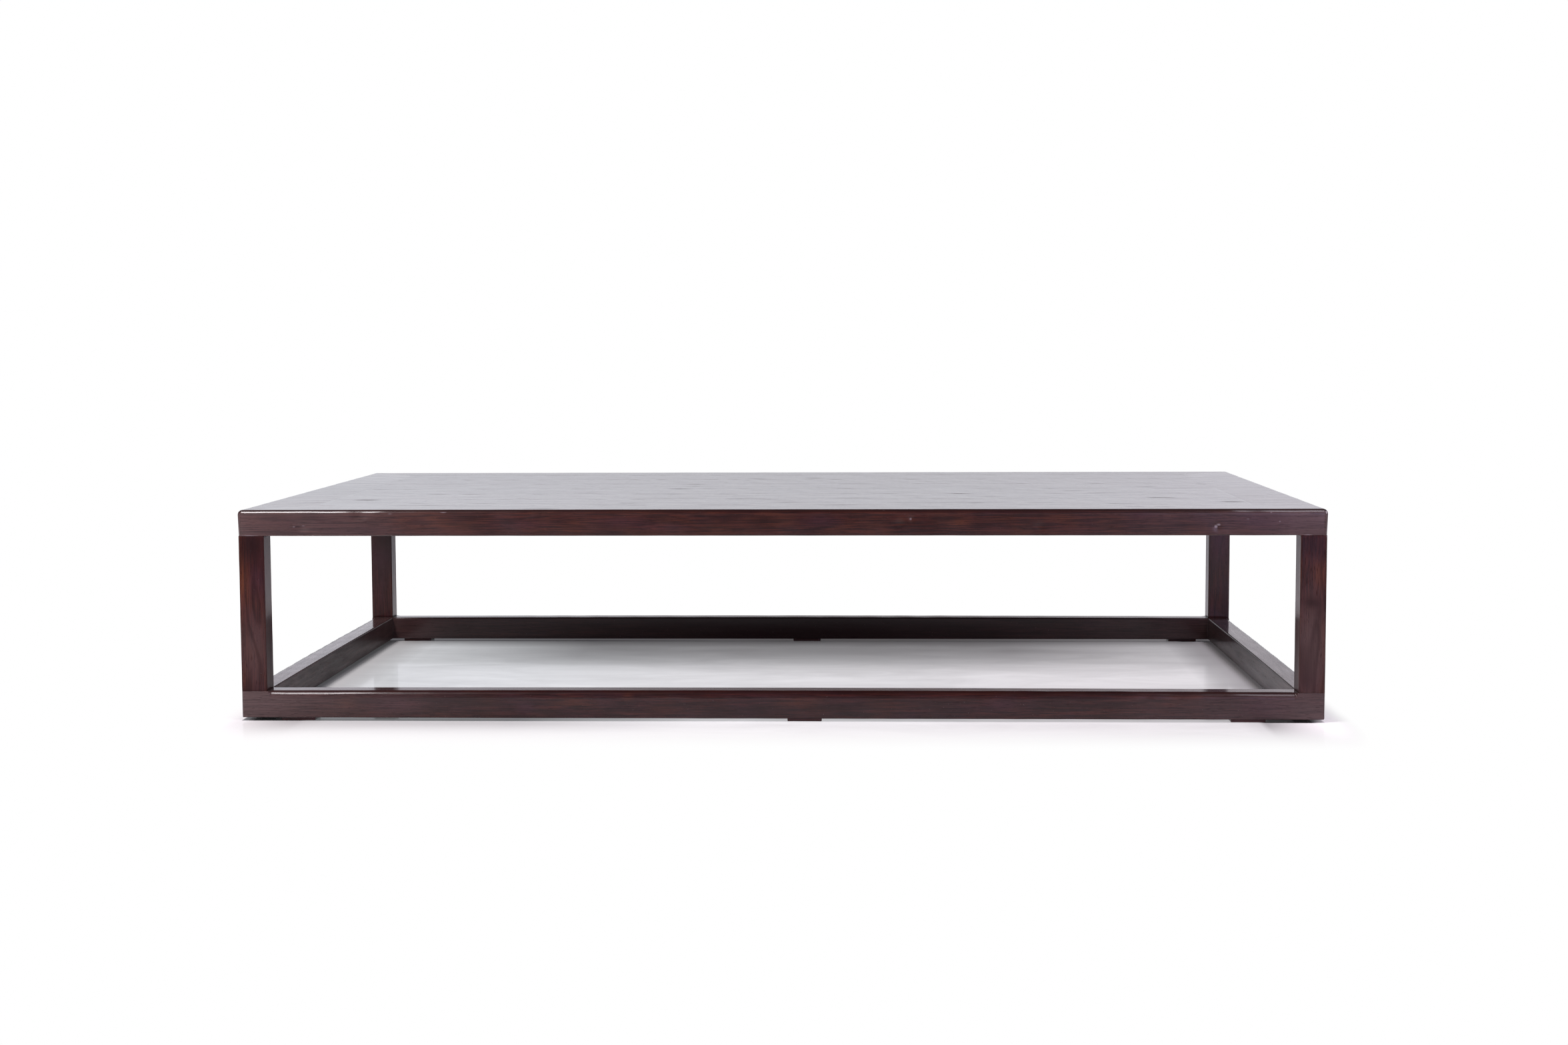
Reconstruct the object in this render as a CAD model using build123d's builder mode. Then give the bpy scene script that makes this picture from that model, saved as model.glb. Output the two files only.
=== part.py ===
"""A low kang table of dark hardwood, put together with hidden joints.

The top is a mitred frame round a flush panel of six tongued boards, held flat by three dovetailed
battens. Four square legs stand between the corners of the top frame and those of a mitred base
frame, which rests on six thin floor pads. Nothing on the table moves.

Millimetres. +X runs along the length, +Y to the back and +Z up. The origin is on the floor, under
the middle of the table. An offset is a distance in from the outer faces of a corner.
"""

from build123d import *
import os

# Overall sizes
table_length = 1834.0
table_depth = 1050.0
table_height = 360.0

# Top frame: four flat rails, mitred at the corners
top_rail_width = 106.0
top_rail_thickness = 44.0
top_edge_radius = 9.0  # round of the upper outer edge
top_corner_extra = 2.0  # how much rounder the upright corners are than that edge
top_lower_arris = 1.5  # eased lower outer edge, between the legs

# Legs: square, flush inside and out with the base frame
leg_size = 44.0
leg_arris = 2.0
outer_corner_radius = 4.0  # outer upright edge of the legs and of the base frame

# Base frame: four rails as wide as the legs, mitred at the corners
base_rail_height = 45.0
base_upper_arris = 11.0  # rounded upper outer edges, between the legs
base_inner_arris = 2.5  # rounded upper inner edges
base_lower_arris = 1.2

# Floor pads: thin blocks that lift the base frame off the floor
pad_length = 58.0
pad_width = 38.0
pad_thickness = 5.0
pad_sole_arris = 0.6
front_left_pad_inset = 96.0  # from the end of the table to the middle of the pad
front_right_pad_inset = 127.0
back_left_pad_inset = 97.0
back_right_pad_inset = 98.0
front_middle_pad_shift = 44.0  # from the middle of the table
back_middle_pad_shift = 20.0

# Panel: boards flush with the frame, tongued into it and into each other
board_count = 6
board_thickness = 18.0
board_seam = 0.3  # hairline between neighbours, and between the panel and the frame
tongue_length = 9.0
tongue_thickness = 6.0
tongue_rise = 5.0  # from the underside of the board
swelling_room = 1.0  # space past the end of a tongue or a tenon
joint_fit = 0.1  # play on each side of a tongue, tenon, dovetail or peg

# Battens: bars under the panel, dovetailed into the boards and tenoned into the long rails
batten_spacing = 460.0
batten_width = 40.0
batten_height = 24.0
batten_lower_arris = 1.5
dovetail_height = 4.0
dovetail_neck = 24.0
dovetail_flare = 3.0  # how much wider it is at the head, on each side
batten_tenon_length = 14.0
batten_tenon_width = 24.0
batten_tenon_thickness = 14.0
batten_tenon_rise = 4.0  # from the underside of the batten

# Mitre tenons: from the long rails into the end rails
top_tenon_leg_gap = 12.0  # from the leg to the tenon
top_tenon_inner_gap = 16.0  # from the tenon to the inner face of the rail
top_tenon_thickness = 13.0
top_tenon_rise = 15.0  # from the underside of the rail
top_tenon_cheek = 14.0  # wood left outside the tenon's end
base_tenon_shoulder = 9.0  # from either face of the rail to the tenon
base_tenon_thickness = 12.0
base_tenon_rise = 6.0
base_tenon_cheek = 8.0

# Leg tenons: two at each end of a leg, one in each rail of its corner
leg_tenon_size = 12.0
leg_tenon_edge = 6.0  # from the faces of the leg
long_rail_tenon_length = 22.0
end_rail_tenon_length = 16.0
foot_tenon_cut = 4.0  # how much shorter the tenons are at the foot

# Corner pegs, driven from below through the mitre tenons
corner_peg_radius = 3.0
corner_peg_reach = 4.0  # past the tenon

# Pad nails: two in each pad
nail_spacing = 34.0
nail_radius = 1.0
nail_head_radius = 2.2
nail_head_thickness = 0.8
nail_head_recess = 1.0  # from the sole of the pad
nail_length = 18.0

# Levels and sizes that follow
base_rail_width = leg_size
base_bottom = pad_thickness
base_top = base_bottom + base_rail_height
top_bottom = table_height - top_rail_thickness
top_corner_radius = top_edge_radius + top_corner_extra
panel_length = table_length - 2 * top_rail_width
panel_depth = table_depth - 2 * top_rail_width
board_pitch = (panel_depth - board_seam) / board_count
board_bottom = table_height - board_thickness
tongue_bottom = board_bottom + tongue_rise
tongue_top = tongue_bottom + tongue_thickness
groove_depth = tongue_length + swelling_room
batten_bottom = board_bottom - batten_height
batten_tenon_bottom = batten_bottom + batten_tenon_rise
batten_tenon_top = batten_tenon_bottom + batten_tenon_thickness
nail_head_top = nail_head_recess + nail_head_thickness
nail_tip = nail_head_recess + nail_length

# Corners and sides, with the way that each one lies from the middle
CORNERS = {
    "front_left": (-1, -1),
    "front_right": (1, -1),
    "back_left": (-1, 1),
    "back_right": (1, 1),
}
LONG_SIDES = {"front": -1, "back": 1}
END_SIDES = {"left": -1, "right": 1}


# --- Shapes that many pieces share ----------------------------------------------------------------


def block(xs, ys, zs, mode=Mode.ADD):
    """A block in the part being built, between two values on each axis."""
    spans = [sorted(span) for span in (xs, ys, zs)]
    with Locations(tuple(low for low, high in spans)):
        Box(*[high - low for low, high in spans], align=(Align.MIN,) * 3, mode=mode)


def corner_block(corner, x_offsets, y_offsets, zs, play=0.0, mode=Mode.ADD):
    """A block placed by its offsets from a corner, with play added on its four sides."""
    side_x, side_y = corner
    x_room = (min(x_offsets) - play, max(x_offsets) + play)
    y_room = (min(y_offsets) - play, max(y_offsets) + play)
    xs = [side_x * (table_length / 2 - offset) for offset in x_room]
    ys = [side_y * (table_depth / 2 - offset) for offset in y_room]
    block(xs, ys, zs, mode)


def pin(centre, radius, low, high, mode=Mode.ADD):
    """An upright pin in the part being built, or a hole for one."""
    x, y = centre
    upward = (Align.CENTER, Align.CENTER, Align.MIN)
    with Locations((x, y, low)):
        Cylinder(radius, high - low, align=upward, mode=mode)


def leg_squares(level):
    """The ground plan of the four legs, at the level of a frame's face."""
    with BuildSketch(Plane.XY.offset(level)) as squares:
        with GridLocations(table_length - leg_size, table_depth - leg_size, 2, 2):
            Rectangle(leg_size, leg_size)
    return squares.sketch


def outer_upright_edges(ring):
    """The upright edges at the four outer corners of a frame."""
    upright = ring.edges().filter_by(Axis.Z)
    return upright.sort_by(lambda edge: abs(edge.center().X) + abs(edge.center().Y))[-4:]


def corners_of(side):
    """The two corners that a rail runs between."""
    return [corner for name, corner in CORNERS.items() if side in name]


def rail_outline(side, width):
    """The ground plan of one rail, cut at 45 degrees at its ends and drawn past its long faces."""
    spare = width / 10
    reach = width + 2 * spare
    outer_x = table_length / 2 + spare
    outer_y = table_depth / 2 + spare
    corners = corners_of(side)
    outer = [(x * outer_x, y * outer_y) for x, y in corners]
    inner = [(x * (outer_x - reach), y * (outer_y - reach)) for x, y in reversed(corners)]
    with BuildSketch() as outline:
        with BuildLine():
            Polyline(*outer, *inner, close=True)
        make_face()
    return outline.sketch


# --- Joints, each drawn once for the piece that enters and for the hole that takes it ------------


def top_mitre_tenon():
    """The x offsets, y offsets and levels of a mitre tenon in the top frame, root included."""
    near = leg_size + top_tenon_leg_gap
    far = top_rail_width - top_tenon_inner_gap
    low = top_bottom + top_tenon_rise
    return (top_tenon_cheek, far), (near, far), (low, low + top_tenon_thickness)


def base_mitre_tenon():
    """The x offsets, y offsets and levels of a mitre tenon in the base frame, root included."""
    near = base_tenon_shoulder
    far = base_rail_width - base_tenon_shoulder
    low = base_bottom + base_tenon_rise
    return (base_tenon_cheek, far), (near, far), (low, low + base_tenon_thickness)


def peg_centre(corner, tenon):
    """Halfway along the part of a mitre tenon's middle line that lies past the mitre."""
    side_x, side_y = corner
    x_offsets, y_offsets, levels = tenon
    y_offset = sum(y_offsets) / 2
    x_offset = (x_offsets[0] + y_offset) / 2
    return side_x * (table_length / 2 - x_offset), side_y * (table_depth / 2 - y_offset)


def join_mitres(side, tenon, underside):
    """Adds the tenons of a long rail or cuts the mortises of an end rail, then the peg holes."""
    x_offsets, y_offsets, (low, high) = tenon
    for corner in corners_of(side):
        if side in LONG_SIDES:
            corner_block(corner, x_offsets, y_offsets, (low, high))
        else:
            room = (x_offsets[0] - swelling_room, x_offsets[1])
            levels = (low - joint_fit, high + joint_fit)
            corner_block(corner, room, y_offsets, levels, joint_fit, Mode.SUBTRACT)
        hole_top = high + corner_peg_reach + swelling_room
        hole_radius = corner_peg_radius + joint_fit
        pin(peg_centre(corner, tenon), hole_radius, underside, hole_top, Mode.SUBTRACT)


def leg_tenons():
    """The x offsets, y offsets and length of the two tenons on top of a leg."""
    near = (leg_tenon_edge, leg_tenon_edge + leg_tenon_size)
    far = (leg_size - near[1], leg_size - near[0])
    return (far, near, long_rail_tenon_length), (near, far, end_rail_tenon_length)


def cut_leg_mortises(side, face, direction, shortening):
    """The mortises that a rail needs for its legs, from a face up or down."""
    for corner in corners_of(side):
        for x_offsets, y_offsets, length in leg_tenons():
            depth = length - shortening + swelling_room
            levels = (face, face + direction * depth)
            corner_block(corner, x_offsets, y_offsets, levels, joint_fit, Mode.SUBTRACT)


def batten_tenon(x, side_y, play=0.0, room=0.0, mode=Mode.ADD):
    """The tenon at one end of a batten, or its mortise in the long rail."""
    half_width = batten_tenon_width / 2 + play
    root = panel_depth / 2 - board_seam
    end = panel_depth / 2 + batten_tenon_length + room
    levels = (batten_tenon_bottom - play, batten_tenon_top + play)
    block((x - half_width, x + half_width), (side_y * root, side_y * end), levels, mode)


def dovetail_section(x, end_y, play=0.0):
    """The dovetail on top of a batten, or its housing, on an upright plane across the batten."""
    neck = dovetail_neck / 2 + play
    head = neck + dovetail_flare
    top = board_bottom + dovetail_height + play
    corners = (x - neck, board_bottom), (x + neck, board_bottom), (x + head, top), (x - head, top)
    with BuildSketch(Plane.XZ.offset(-end_y)) as section:
        with BuildLine():
            Polyline(*corners, close=True)
        make_face()
    return section.sketch


def batten_places():
    """The X of each batten's middle line."""
    return {"left": -batten_spacing, "middle": 0.0, "right": batten_spacing}


def pad_places():
    """The middle of each floor pad, seen from above."""
    end = table_length / 2
    back = (table_depth - base_rail_width) / 2
    return {
        "front_left": (front_left_pad_inset - end, -back),
        "front_middle": (front_middle_pad_shift, -back),
        "front_right": (end - front_right_pad_inset, -back),
        "back_left": (back_left_pad_inset - end, back),
        "back_middle": (back_middle_pad_shift, back),
        "back_right": (end - back_right_pad_inset, back),
    }


def nails_of(pad_centre):
    """The places of the two nails in a floor pad."""
    x, y = pad_centre
    return (x - nail_spacing / 2, y), (x + nail_spacing / 2, y)


# --- Top frame and base frame ---------------------------------------------------------------------


def top_frame_ring():
    """The top frame as one ring, before it is parted along its mitres."""
    with BuildPart() as ring:
        with BuildSketch(Plane.XY.offset(top_bottom)):
            Rectangle(table_length, table_depth)
        extrude(amount=top_rail_thickness)
        chamfer(ring.faces().sort_by(Axis.Z)[0].edges(), top_lower_arris)
        extrude(leg_squares(top_bottom), amount=top_lower_arris)
        fillet(outer_upright_edges(ring), top_corner_radius)
        fillet(ring.faces().sort_by(Axis.Z)[-1].edges(), top_edge_radius)
        with BuildSketch(Plane.XY.offset(top_bottom)):
            Rectangle(panel_length, panel_depth)
        extrude(amount=top_rail_thickness, mode=Mode.SUBTRACT)
        with BuildSketch(Plane.XY.offset(tongue_bottom - joint_fit)):
            Rectangle(panel_length + 2 * groove_depth, panel_depth + 2 * groove_depth)
        extrude(amount=tongue_thickness + 2 * joint_fit, mode=Mode.SUBTRACT)
    return ring.part


def base_frame_ring():
    """The base frame as one ring, before it is parted along its mitres."""
    inner_length = table_length - 2 * base_rail_width
    inner_depth = table_depth - 2 * base_rail_width
    with BuildPart() as ring:
        with BuildSketch(Plane.XY.offset(base_bottom)):
            Rectangle(table_length, table_depth)
            Rectangle(inner_length, inner_depth, mode=Mode.SUBTRACT)
        extrude(amount=base_rail_height)
        fillet(ring.faces().sort_by(Axis.Z)[-1].inner_wires()[0].edges(), base_inner_arris)
        fillet(ring.faces().sort_by(Axis.Z)[-1].outer_wire().edges(), base_upper_arris)
        extrude(leg_squares(base_top - base_upper_arris), amount=base_upper_arris)
        fillet(outer_upright_edges(ring), outer_corner_radius)
        chamfer(ring.faces().sort_by(Axis.Z)[0].edges(), base_lower_arris)
    return ring.part


def make_top_rail(ring, side):
    """One rail of the top frame."""
    with BuildPart() as rail:
        add(ring)
        extrude(rail_outline(side, top_rail_width), amount=table_height, mode=Mode.INTERSECT)
        join_mitres(side, top_mitre_tenon(), top_bottom)
        cut_leg_mortises(side, top_bottom, 1, 0.0)
        if side in LONG_SIDES:
            for x in batten_places().values():
                batten_tenon(x, LONG_SIDES[side], joint_fit, swelling_room, Mode.SUBTRACT)
    return rail.part


def make_base_rail(ring, side):
    """One rail of the base frame."""
    with BuildPart() as rail:
        add(ring)
        extrude(rail_outline(side, base_rail_width), amount=table_height, mode=Mode.INTERSECT)
        join_mitres(side, base_mitre_tenon(), base_bottom)
        cut_leg_mortises(side, base_top, -1, foot_tenon_cut)
        for name, pad_centre in pad_places().items():
            if name.startswith(side):
                for nail in nails_of(pad_centre):
                    pin(nail, nail_radius, base_bottom, nail_tip, Mode.SUBTRACT)
    return rail.part


# --- Panel and battens ----------------------------------------------------------------------------


def make_board(index):
    """One board: tongues at both ends and at the back edge, and a groove at the front edge.

    The first board has a tongue at its front edge instead, which enters the front rail.
    """
    front = -panel_depth / 2 + board_seam + index * board_pitch
    back = front + board_pitch - board_seam
    body_end = panel_length / 2 - board_seam
    tongue_end = panel_length / 2 + tongue_length
    front_tongue = front - board_seam - tongue_length
    back_tongue = back + board_seam + tongue_length
    with BuildPart() as board:
        block((-body_end, body_end), (front, back), (board_bottom, table_height))
        block((-tongue_end, tongue_end), (front, back_tongue), (tongue_bottom, tongue_top))
        if index == 0:
            block((-tongue_end, tongue_end), (front_tongue, front), (tongue_bottom, tongue_top))
        else:
            levels = (tongue_bottom - joint_fit, tongue_top + joint_fit)
            reach = (front, front + groove_depth)
            block((-tongue_end, tongue_end), reach, levels, Mode.SUBTRACT)
        for x in batten_places().values():
            housing = dovetail_section(x, back, joint_fit)
            extrude(housing, amount=back - front, mode=Mode.SUBTRACT)
    return board.part


def make_batten(x):
    """One bar across the underside of the panel."""
    end = panel_depth / 2 - board_seam
    half_width = batten_width / 2
    with BuildPart() as batten:
        block((x - half_width, x + half_width), (-end, end), (batten_bottom, board_bottom))
        lower_edges = batten.faces().sort_by(Axis.Z)[0].edges().filter_by(Axis.Y)
        chamfer(lower_edges, batten_lower_arris)
        extrude(dovetail_section(x, end), amount=2 * end)
        for side_y in LONG_SIDES.values():
            batten_tenon(x, side_y)
    return batten.part


# --- Legs, pads and fixings -----------------------------------------------------------------------


def make_leg(corner):
    """One leg, with its outer faces flush with the corner that it stands in."""
    side_x, side_y = corner
    whole = (0, leg_size)

    def outwards(edge):
        return side_x * edge.center().X + side_y * edge.center().Y

    with BuildPart() as leg:
        corner_block(corner, whole, whole, (base_top, top_bottom))
        fillet(leg.edges().filter_by(Axis.Z).sort_by(outwards)[:-1], leg_arris)
        fillet(leg.edges().filter_by(Axis.Z).sort_by(outwards)[-1], outer_corner_radius)
        for x_offsets, y_offsets, length in leg_tenons():
            foot = base_top - length + foot_tenon_cut
            corner_block(corner, x_offsets, y_offsets, (foot, top_bottom + length))
    return leg.part


def make_pad(centre):
    """One floor pad, with its sole eased and two holes for its nails."""
    with BuildPart() as pad:
        with BuildSketch():
            with Locations(centre):
                Rectangle(pad_length, pad_width)
        extrude(amount=pad_thickness)
        chamfer(pad.faces().sort_by(Axis.Z)[0].edges(), pad_sole_arris)
        for nail in nails_of(centre):
            pin(nail, nail_radius, 0, pad_thickness, Mode.SUBTRACT)
            pin(nail, nail_head_radius, 0, nail_head_top, Mode.SUBTRACT)
    return pad.part


def make_pad_nails():
    """Every pad nail: a flat head sunk into the pad, and a shank that runs up into the rail."""
    with BuildPart() as nails:
        for pad_centre in pad_places().values():
            for nail in nails_of(pad_centre):
                pin(nail, nail_head_radius, nail_head_recess, nail_head_top)
                pin(nail, nail_radius, nail_head_top, nail_tip)
    return nails.part


def make_corner_pegs(tenon, underside):
    """The four pegs that lock the mitre tenons of a frame."""
    x_offsets, y_offsets, levels = tenon
    with BuildPart() as pegs:
        for corner in CORNERS.values():
            peg_top = levels[1] + corner_peg_reach
            pin(peg_centre(corner, tenon), corner_peg_radius, underside, peg_top)
    return pegs.part


def make_table():
    """Every piece of the table, under its name."""
    pieces = {}
    top_ring = top_frame_ring()
    base_ring = base_frame_ring()
    for side in (*LONG_SIDES, *END_SIDES):
        pieces[f"top_{side}_rail"] = make_top_rail(top_ring, side)
        pieces[f"base_{side}_rail"] = make_base_rail(base_ring, side)
    for index in range(board_count):
        pieces[f"top_board_{index + 1}"] = make_board(index)
    for name, x in batten_places().items():
        pieces[f"top_batten_{name}"] = make_batten(x)
    for name, corner in CORNERS.items():
        pieces[f"leg_{name}"] = make_leg(corner)
    for name, centre in pad_places().items():
        pieces[f"floor_pad_{name}"] = make_pad(centre)
    pieces["floor_pad_nails"] = make_pad_nails()
    pieces["top_corner_pegs"] = make_corner_pegs(top_mitre_tenon(), top_bottom)
    pieces["base_corner_pegs"] = make_corner_pegs(base_mitre_tenon(), base_bottom)
    return pieces


os.makedirs("parts", exist_ok=True)
for name, piece in make_table().items():
    piece.label = name
    export_step(piece, f"parts/{name}.step")
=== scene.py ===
"""Looks of a low kang table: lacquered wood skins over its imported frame, and the studio round it.

Every rail, board, leg and pad is a rounded section carried along the piece. The battens, the pegs
and the nails are the frame's own solids with a finish of their own.

Metres, in the frame's axes: +X along the length, +Y to the back and +Z up, with the floor at 0.
"""

import math
from typing import NamedTuple

import bpy
import numpy as np
from mathutils import Matrix, Vector


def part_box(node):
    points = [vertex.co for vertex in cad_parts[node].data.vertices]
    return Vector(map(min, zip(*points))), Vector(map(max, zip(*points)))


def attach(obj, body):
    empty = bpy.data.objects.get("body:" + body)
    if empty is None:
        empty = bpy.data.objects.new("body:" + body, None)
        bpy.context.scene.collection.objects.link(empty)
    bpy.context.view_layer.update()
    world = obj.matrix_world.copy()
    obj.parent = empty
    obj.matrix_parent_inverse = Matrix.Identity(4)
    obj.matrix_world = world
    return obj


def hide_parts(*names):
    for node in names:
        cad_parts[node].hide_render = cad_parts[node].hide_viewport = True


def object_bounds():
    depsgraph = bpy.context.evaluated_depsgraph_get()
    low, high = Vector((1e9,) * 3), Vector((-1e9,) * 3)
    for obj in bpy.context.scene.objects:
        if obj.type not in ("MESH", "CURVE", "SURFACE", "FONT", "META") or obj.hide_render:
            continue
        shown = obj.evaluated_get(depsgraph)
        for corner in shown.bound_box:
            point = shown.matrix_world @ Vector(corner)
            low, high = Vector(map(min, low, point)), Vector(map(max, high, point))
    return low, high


bl_info = {
    "name": "Kang table",
    "version": (1, 0, 0),
    "blender": (4, 5, 0),
    "location": "3D View > Sidebar > Kang table",
    "description": "Lacquered skins, finishes and studio for a packed kang table",
    "category": "Object",
}

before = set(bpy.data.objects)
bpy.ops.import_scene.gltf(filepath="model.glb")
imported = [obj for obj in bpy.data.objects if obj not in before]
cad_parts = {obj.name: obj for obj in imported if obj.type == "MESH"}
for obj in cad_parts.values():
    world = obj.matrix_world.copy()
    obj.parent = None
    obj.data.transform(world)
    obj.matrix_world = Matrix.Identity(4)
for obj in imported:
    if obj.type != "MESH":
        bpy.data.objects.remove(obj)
cad_low, cad_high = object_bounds()

MM = 0.001
X, Y, Z = np.eye(3)

# How finely the skins are divided
ARC_POINTS = 7  # on a rounded edge
TURN_POINTS = 7  # on half of a rounded corner of a frame
FINE_POINTS = 13  # across a mark or a dent
EDGE_SUPPORT = 0.8 * MM  # from a rounded edge to the first line on a face
MOST_SUPPORT = 0.2  # the largest share of a narrow face that this takes
NEAREST_STATIONS = 0.15 * MM
MARK_LINES = np.array([-1.6, -1.0, -0.5, 0.0, 0.5, 1.0, 1.6])  # across a mark, in half widths
MARK_REACH, DENT_REACH = 1.5, 2.0  # how far the fine stations of a mark or a dent go, as shares
SHARP_RADIUS = 0.005 * MM  # the round of an edge that counts as square
NARROW = 0.05 * MM  # strips of a skin that are narrower than this are shaded flat

# The shortest and longest of the waves in the planing, the edges and the painted light
PLANING_WAVES = (50.0 * MM, 400.0 * MM)
TOP_EDGE_WAVES = (40.0 * MM, 300.0 * MM)
BASE_EDGE_WAVES = (40.0 * MM, 250.0 * MM)
PAINTED_LIGHT_WAVES = (60.0 * MM, 500.0 * MM)
EDGE_SEED, PAINTED_LIGHT_SEED = 50, 90  # added to the seed of a rail
TOP_EDGE_LIMITS = (0.7, 1.2)  # how small and large a wobbling edge's round gets, as shares
BASE_EDGE_LIMITS = (0.6, 1.3)


# --- Settings that a user would change ------------------------------------------------------------


def length_setting(name, description, default):
    """A length in metres."""
    return bpy.props.FloatProperty(
        name=name, description=description, default=default, min=0.0, unit="LENGTH", subtype="DISTANCE"
    )


def share_setting(name, description, default):
    """A number from 0 to 1."""
    return bpy.props.FloatProperty(
        name=name, description=description, default=default, min=0.0, max=1.0, subtype="FACTOR"
    )


def colour_setting(name, description, default):
    """A linear colour, whose values may pass 1 where it is a light."""
    return bpy.props.FloatVectorProperty(
        name=name, description=description, default=default, min=0.0, size=3, subtype="COLOR"
    )


def angle_setting(name, description, degrees):
    """An angle, whose default is given in degrees."""
    return bpy.props.FloatProperty(
        name=name, description=description, default=math.radians(degrees), unit="ROTATION"
    )


def power_setting(name, description, default):
    """A light's power in watts."""
    return bpy.props.FloatProperty(
        name=name, description=description, default=default, min=0.0, unit="POWER"
    )


class KangTableShape(bpy.types.PropertyGroup):
    """Edges and surfaces of the skins."""

    top_edge: length_setting("Top edge", "Round of the table top's upper edge", 9.0 * MM)
    top_batter: length_setting("Top batter", "How far the top's outer faces lean out", 1.6 * MM)
    top_foot: length_setting("Top lower edge", "Round of the top's lower outer edge", 1.5 * MM)
    top_corner: length_setting("Top corner", "Round of the top's corners, seen from above", 7.0 * MM)
    base_edge: length_setting("Base edge", "Round of the base rails' upper outer edges", 11.0 * MM)
    base_inner_edge: length_setting("Base inner edge", "Round of their upper inner edges", 2.5 * MM)
    base_camber: length_setting("Base camber", "Rise of a base rail's upper face at its middle", 1.5 * MM)
    base_foot: length_setting("Base lower edge", "Round of the base rails' lower edges", 1.2 * MM)
    outer_corner: length_setting("Outer corner", "Round of the legs' and the base's corners", 4.0 * MM)
    leg_edge: length_setting("Leg edge", "Round of a leg's other upright edges", 2.0 * MM)
    seam_edge: length_setting("Seam edge", "Round of the edges along the seams of the top", SHARP_RADIUS)
    pad_edge: length_setting("Pad edge", "Round of the floor pads' edges", 0.8 * MM)
    edge_fade: length_setting("Edge fade", "How far from a leg an edge takes to be fully round", 5.0 * MM)
    hairline: length_setting("Hairline", "Gap that shows along a mitre", 0.05 * MM)
    joint_ease: length_setting("Joint ease", "Edge taken off where legs and rails meet", 0.35 * MM)
    planing: length_setting("Planing", "Depth of the plane's waves on a flat face", 0.06 * MM)
    top_wobble: share_setting("Top edge wobble", "How much the round of the top's edge varies", 0.04)
    base_wobble: share_setting("Base edge wobble", "How much the round of the base's edges varies", 0.05)
    grid: length_setting("Grid", "Distance between the lines of a skin", 5.0 * MM)


class KangTableFinish(bpy.types.PropertyGroup):
    """Colours and gloss of the wood."""

    deep_wood: colour_setting("Deep wood", "Stained wood in its dark streaks", (0.010, 0.0025, 0.003))
    wood: colour_setting("Wood", "Stained wood", (0.032, 0.0062, 0.0056))
    warm_wood: colour_setting("Warm wood", "Wood where the stain is thin", (0.085, 0.024, 0.009))
    plum_wood: colour_setting("Plum wood", "Wood where the stain is purple", (0.040, 0.012, 0.022))
    # Chipped lacquer, and painted highlights that glint on the dents of the top front rail
    chip: colour_setting("Chips", "Chipped lacquer", (0.36, 0.31, 0.34))
    # Painted light: a lighter colour laid over the rails near their ends and corners, and over the front
    # legs low down, where light and highlights fall
    haze: colour_setting("Haze", "Hazed lacquer near the corners", (0.088, 0.055, 0.052))
    dust: colour_setting("Dust", "Specks in the lacquer", (0.16, 0.13, 0.13))
    bloom: colour_setting("Bloom", "Clouded lacquer", (0.050, 0.036, 0.048))
    raw_wood: colour_setting("Raw wood", "Unlacquered wood of the battens", (0.085, 0.048, 0.030))
    iron: colour_setting("Iron", "Nails", (0.22, 0.19, 0.17))
    lacquer_roughness: share_setting("Lacquer roughness", "Roughness of the clear coat", 0.10)
    lacquer_strength: share_setting("Lacquer", "How much of the surface has its full coat", 1.0)


class KangTableStudio(bpy.types.PropertyGroup):
    """Camera, lights and floor."""

    lens: bpy.props.FloatProperty(
        name="Lens", description="Focal length in millimetres", default=51.195, min=1.0, unit="CAMERA"
    )
    camera_place: bpy.props.FloatVectorProperty(
        name="Camera place",
        description="Where the camera stands",
        default=(0.1549, -4.2564, 0.6467),
        unit="LENGTH",
        subtype="TRANSLATION",
    )
    yaw: angle_setting("Yaw", "Turn to the right", -2.2130)
    pitch: angle_setting("Pitch", "Tilt upwards", -4.7215)
    roll: angle_setting("Roll", "Turn about the view", -0.2383)
    backdrop_left: colour_setting("Backdrop, left", "Wall behind, on the left", (0.87, 0.89, 0.95))
    backdrop_middle: colour_setting("Backdrop, middle", "Wall behind, in the middle", (0.89, 0.90, 0.96))
    backdrop_right: colour_setting("Backdrop, right", "Wall behind, on the right", (0.90, 0.88, 0.96))
    upper_left: colour_setting("Upper backdrop, left", "Higher up, on the left", (1.08, 1.06, 1.16))
    upper_middle: colour_setting("Upper backdrop, middle", "Higher up, in the middle", (0.31, 0.27, 0.28))
    upper_right: colour_setting("Upper backdrop, right", "Higher up, on the right", (1.15, 1.09, 1.18))
    front_wall: colour_setting("Front wall", "Room in front", (0.50, 0.48, 0.50))
    side_wall: colour_setting("Side wall", "Room in front, to the left and right", (1.25, 1.15, 1.35))
    left_window: colour_setting("Left window", "Light in front, on the left", (2.1, 1.72, 1.8))
    right_window: colour_setting("Right window", "Light in front, on the right", (2.3, 2.05, 3.0))
    bare_floor: colour_setting("Bare floor", "Floor in front, past the paper", (0.17, 0.15, 0.16))
    left_floor: colour_setting("Left floor", "The floor under the left window", (1.35, 1.05, 1.2))
    right_floor: colour_setting("Right floor", "The floor under the right window", (1.5, 1.2, 1.75))
    ceiling: colour_setting("Ceiling", "Room above", (0.10, 0.10, 0.105))
    left_softbox: power_setting("Left softbox", "Power of the left softbox", 125.0)
    right_softbox: power_setting("Right softbox", "Power of the right softbox", 40.0)
    corner_softbox: power_setting("Corner softbox", "Power of the softbox beside the right end", 60.0)
    paper: colour_setting("Paper", "White paper of the floor", (0.88, 0.87, 0.86))


# --- Sections, paths and skins --------------------------------------------------------------------


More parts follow.
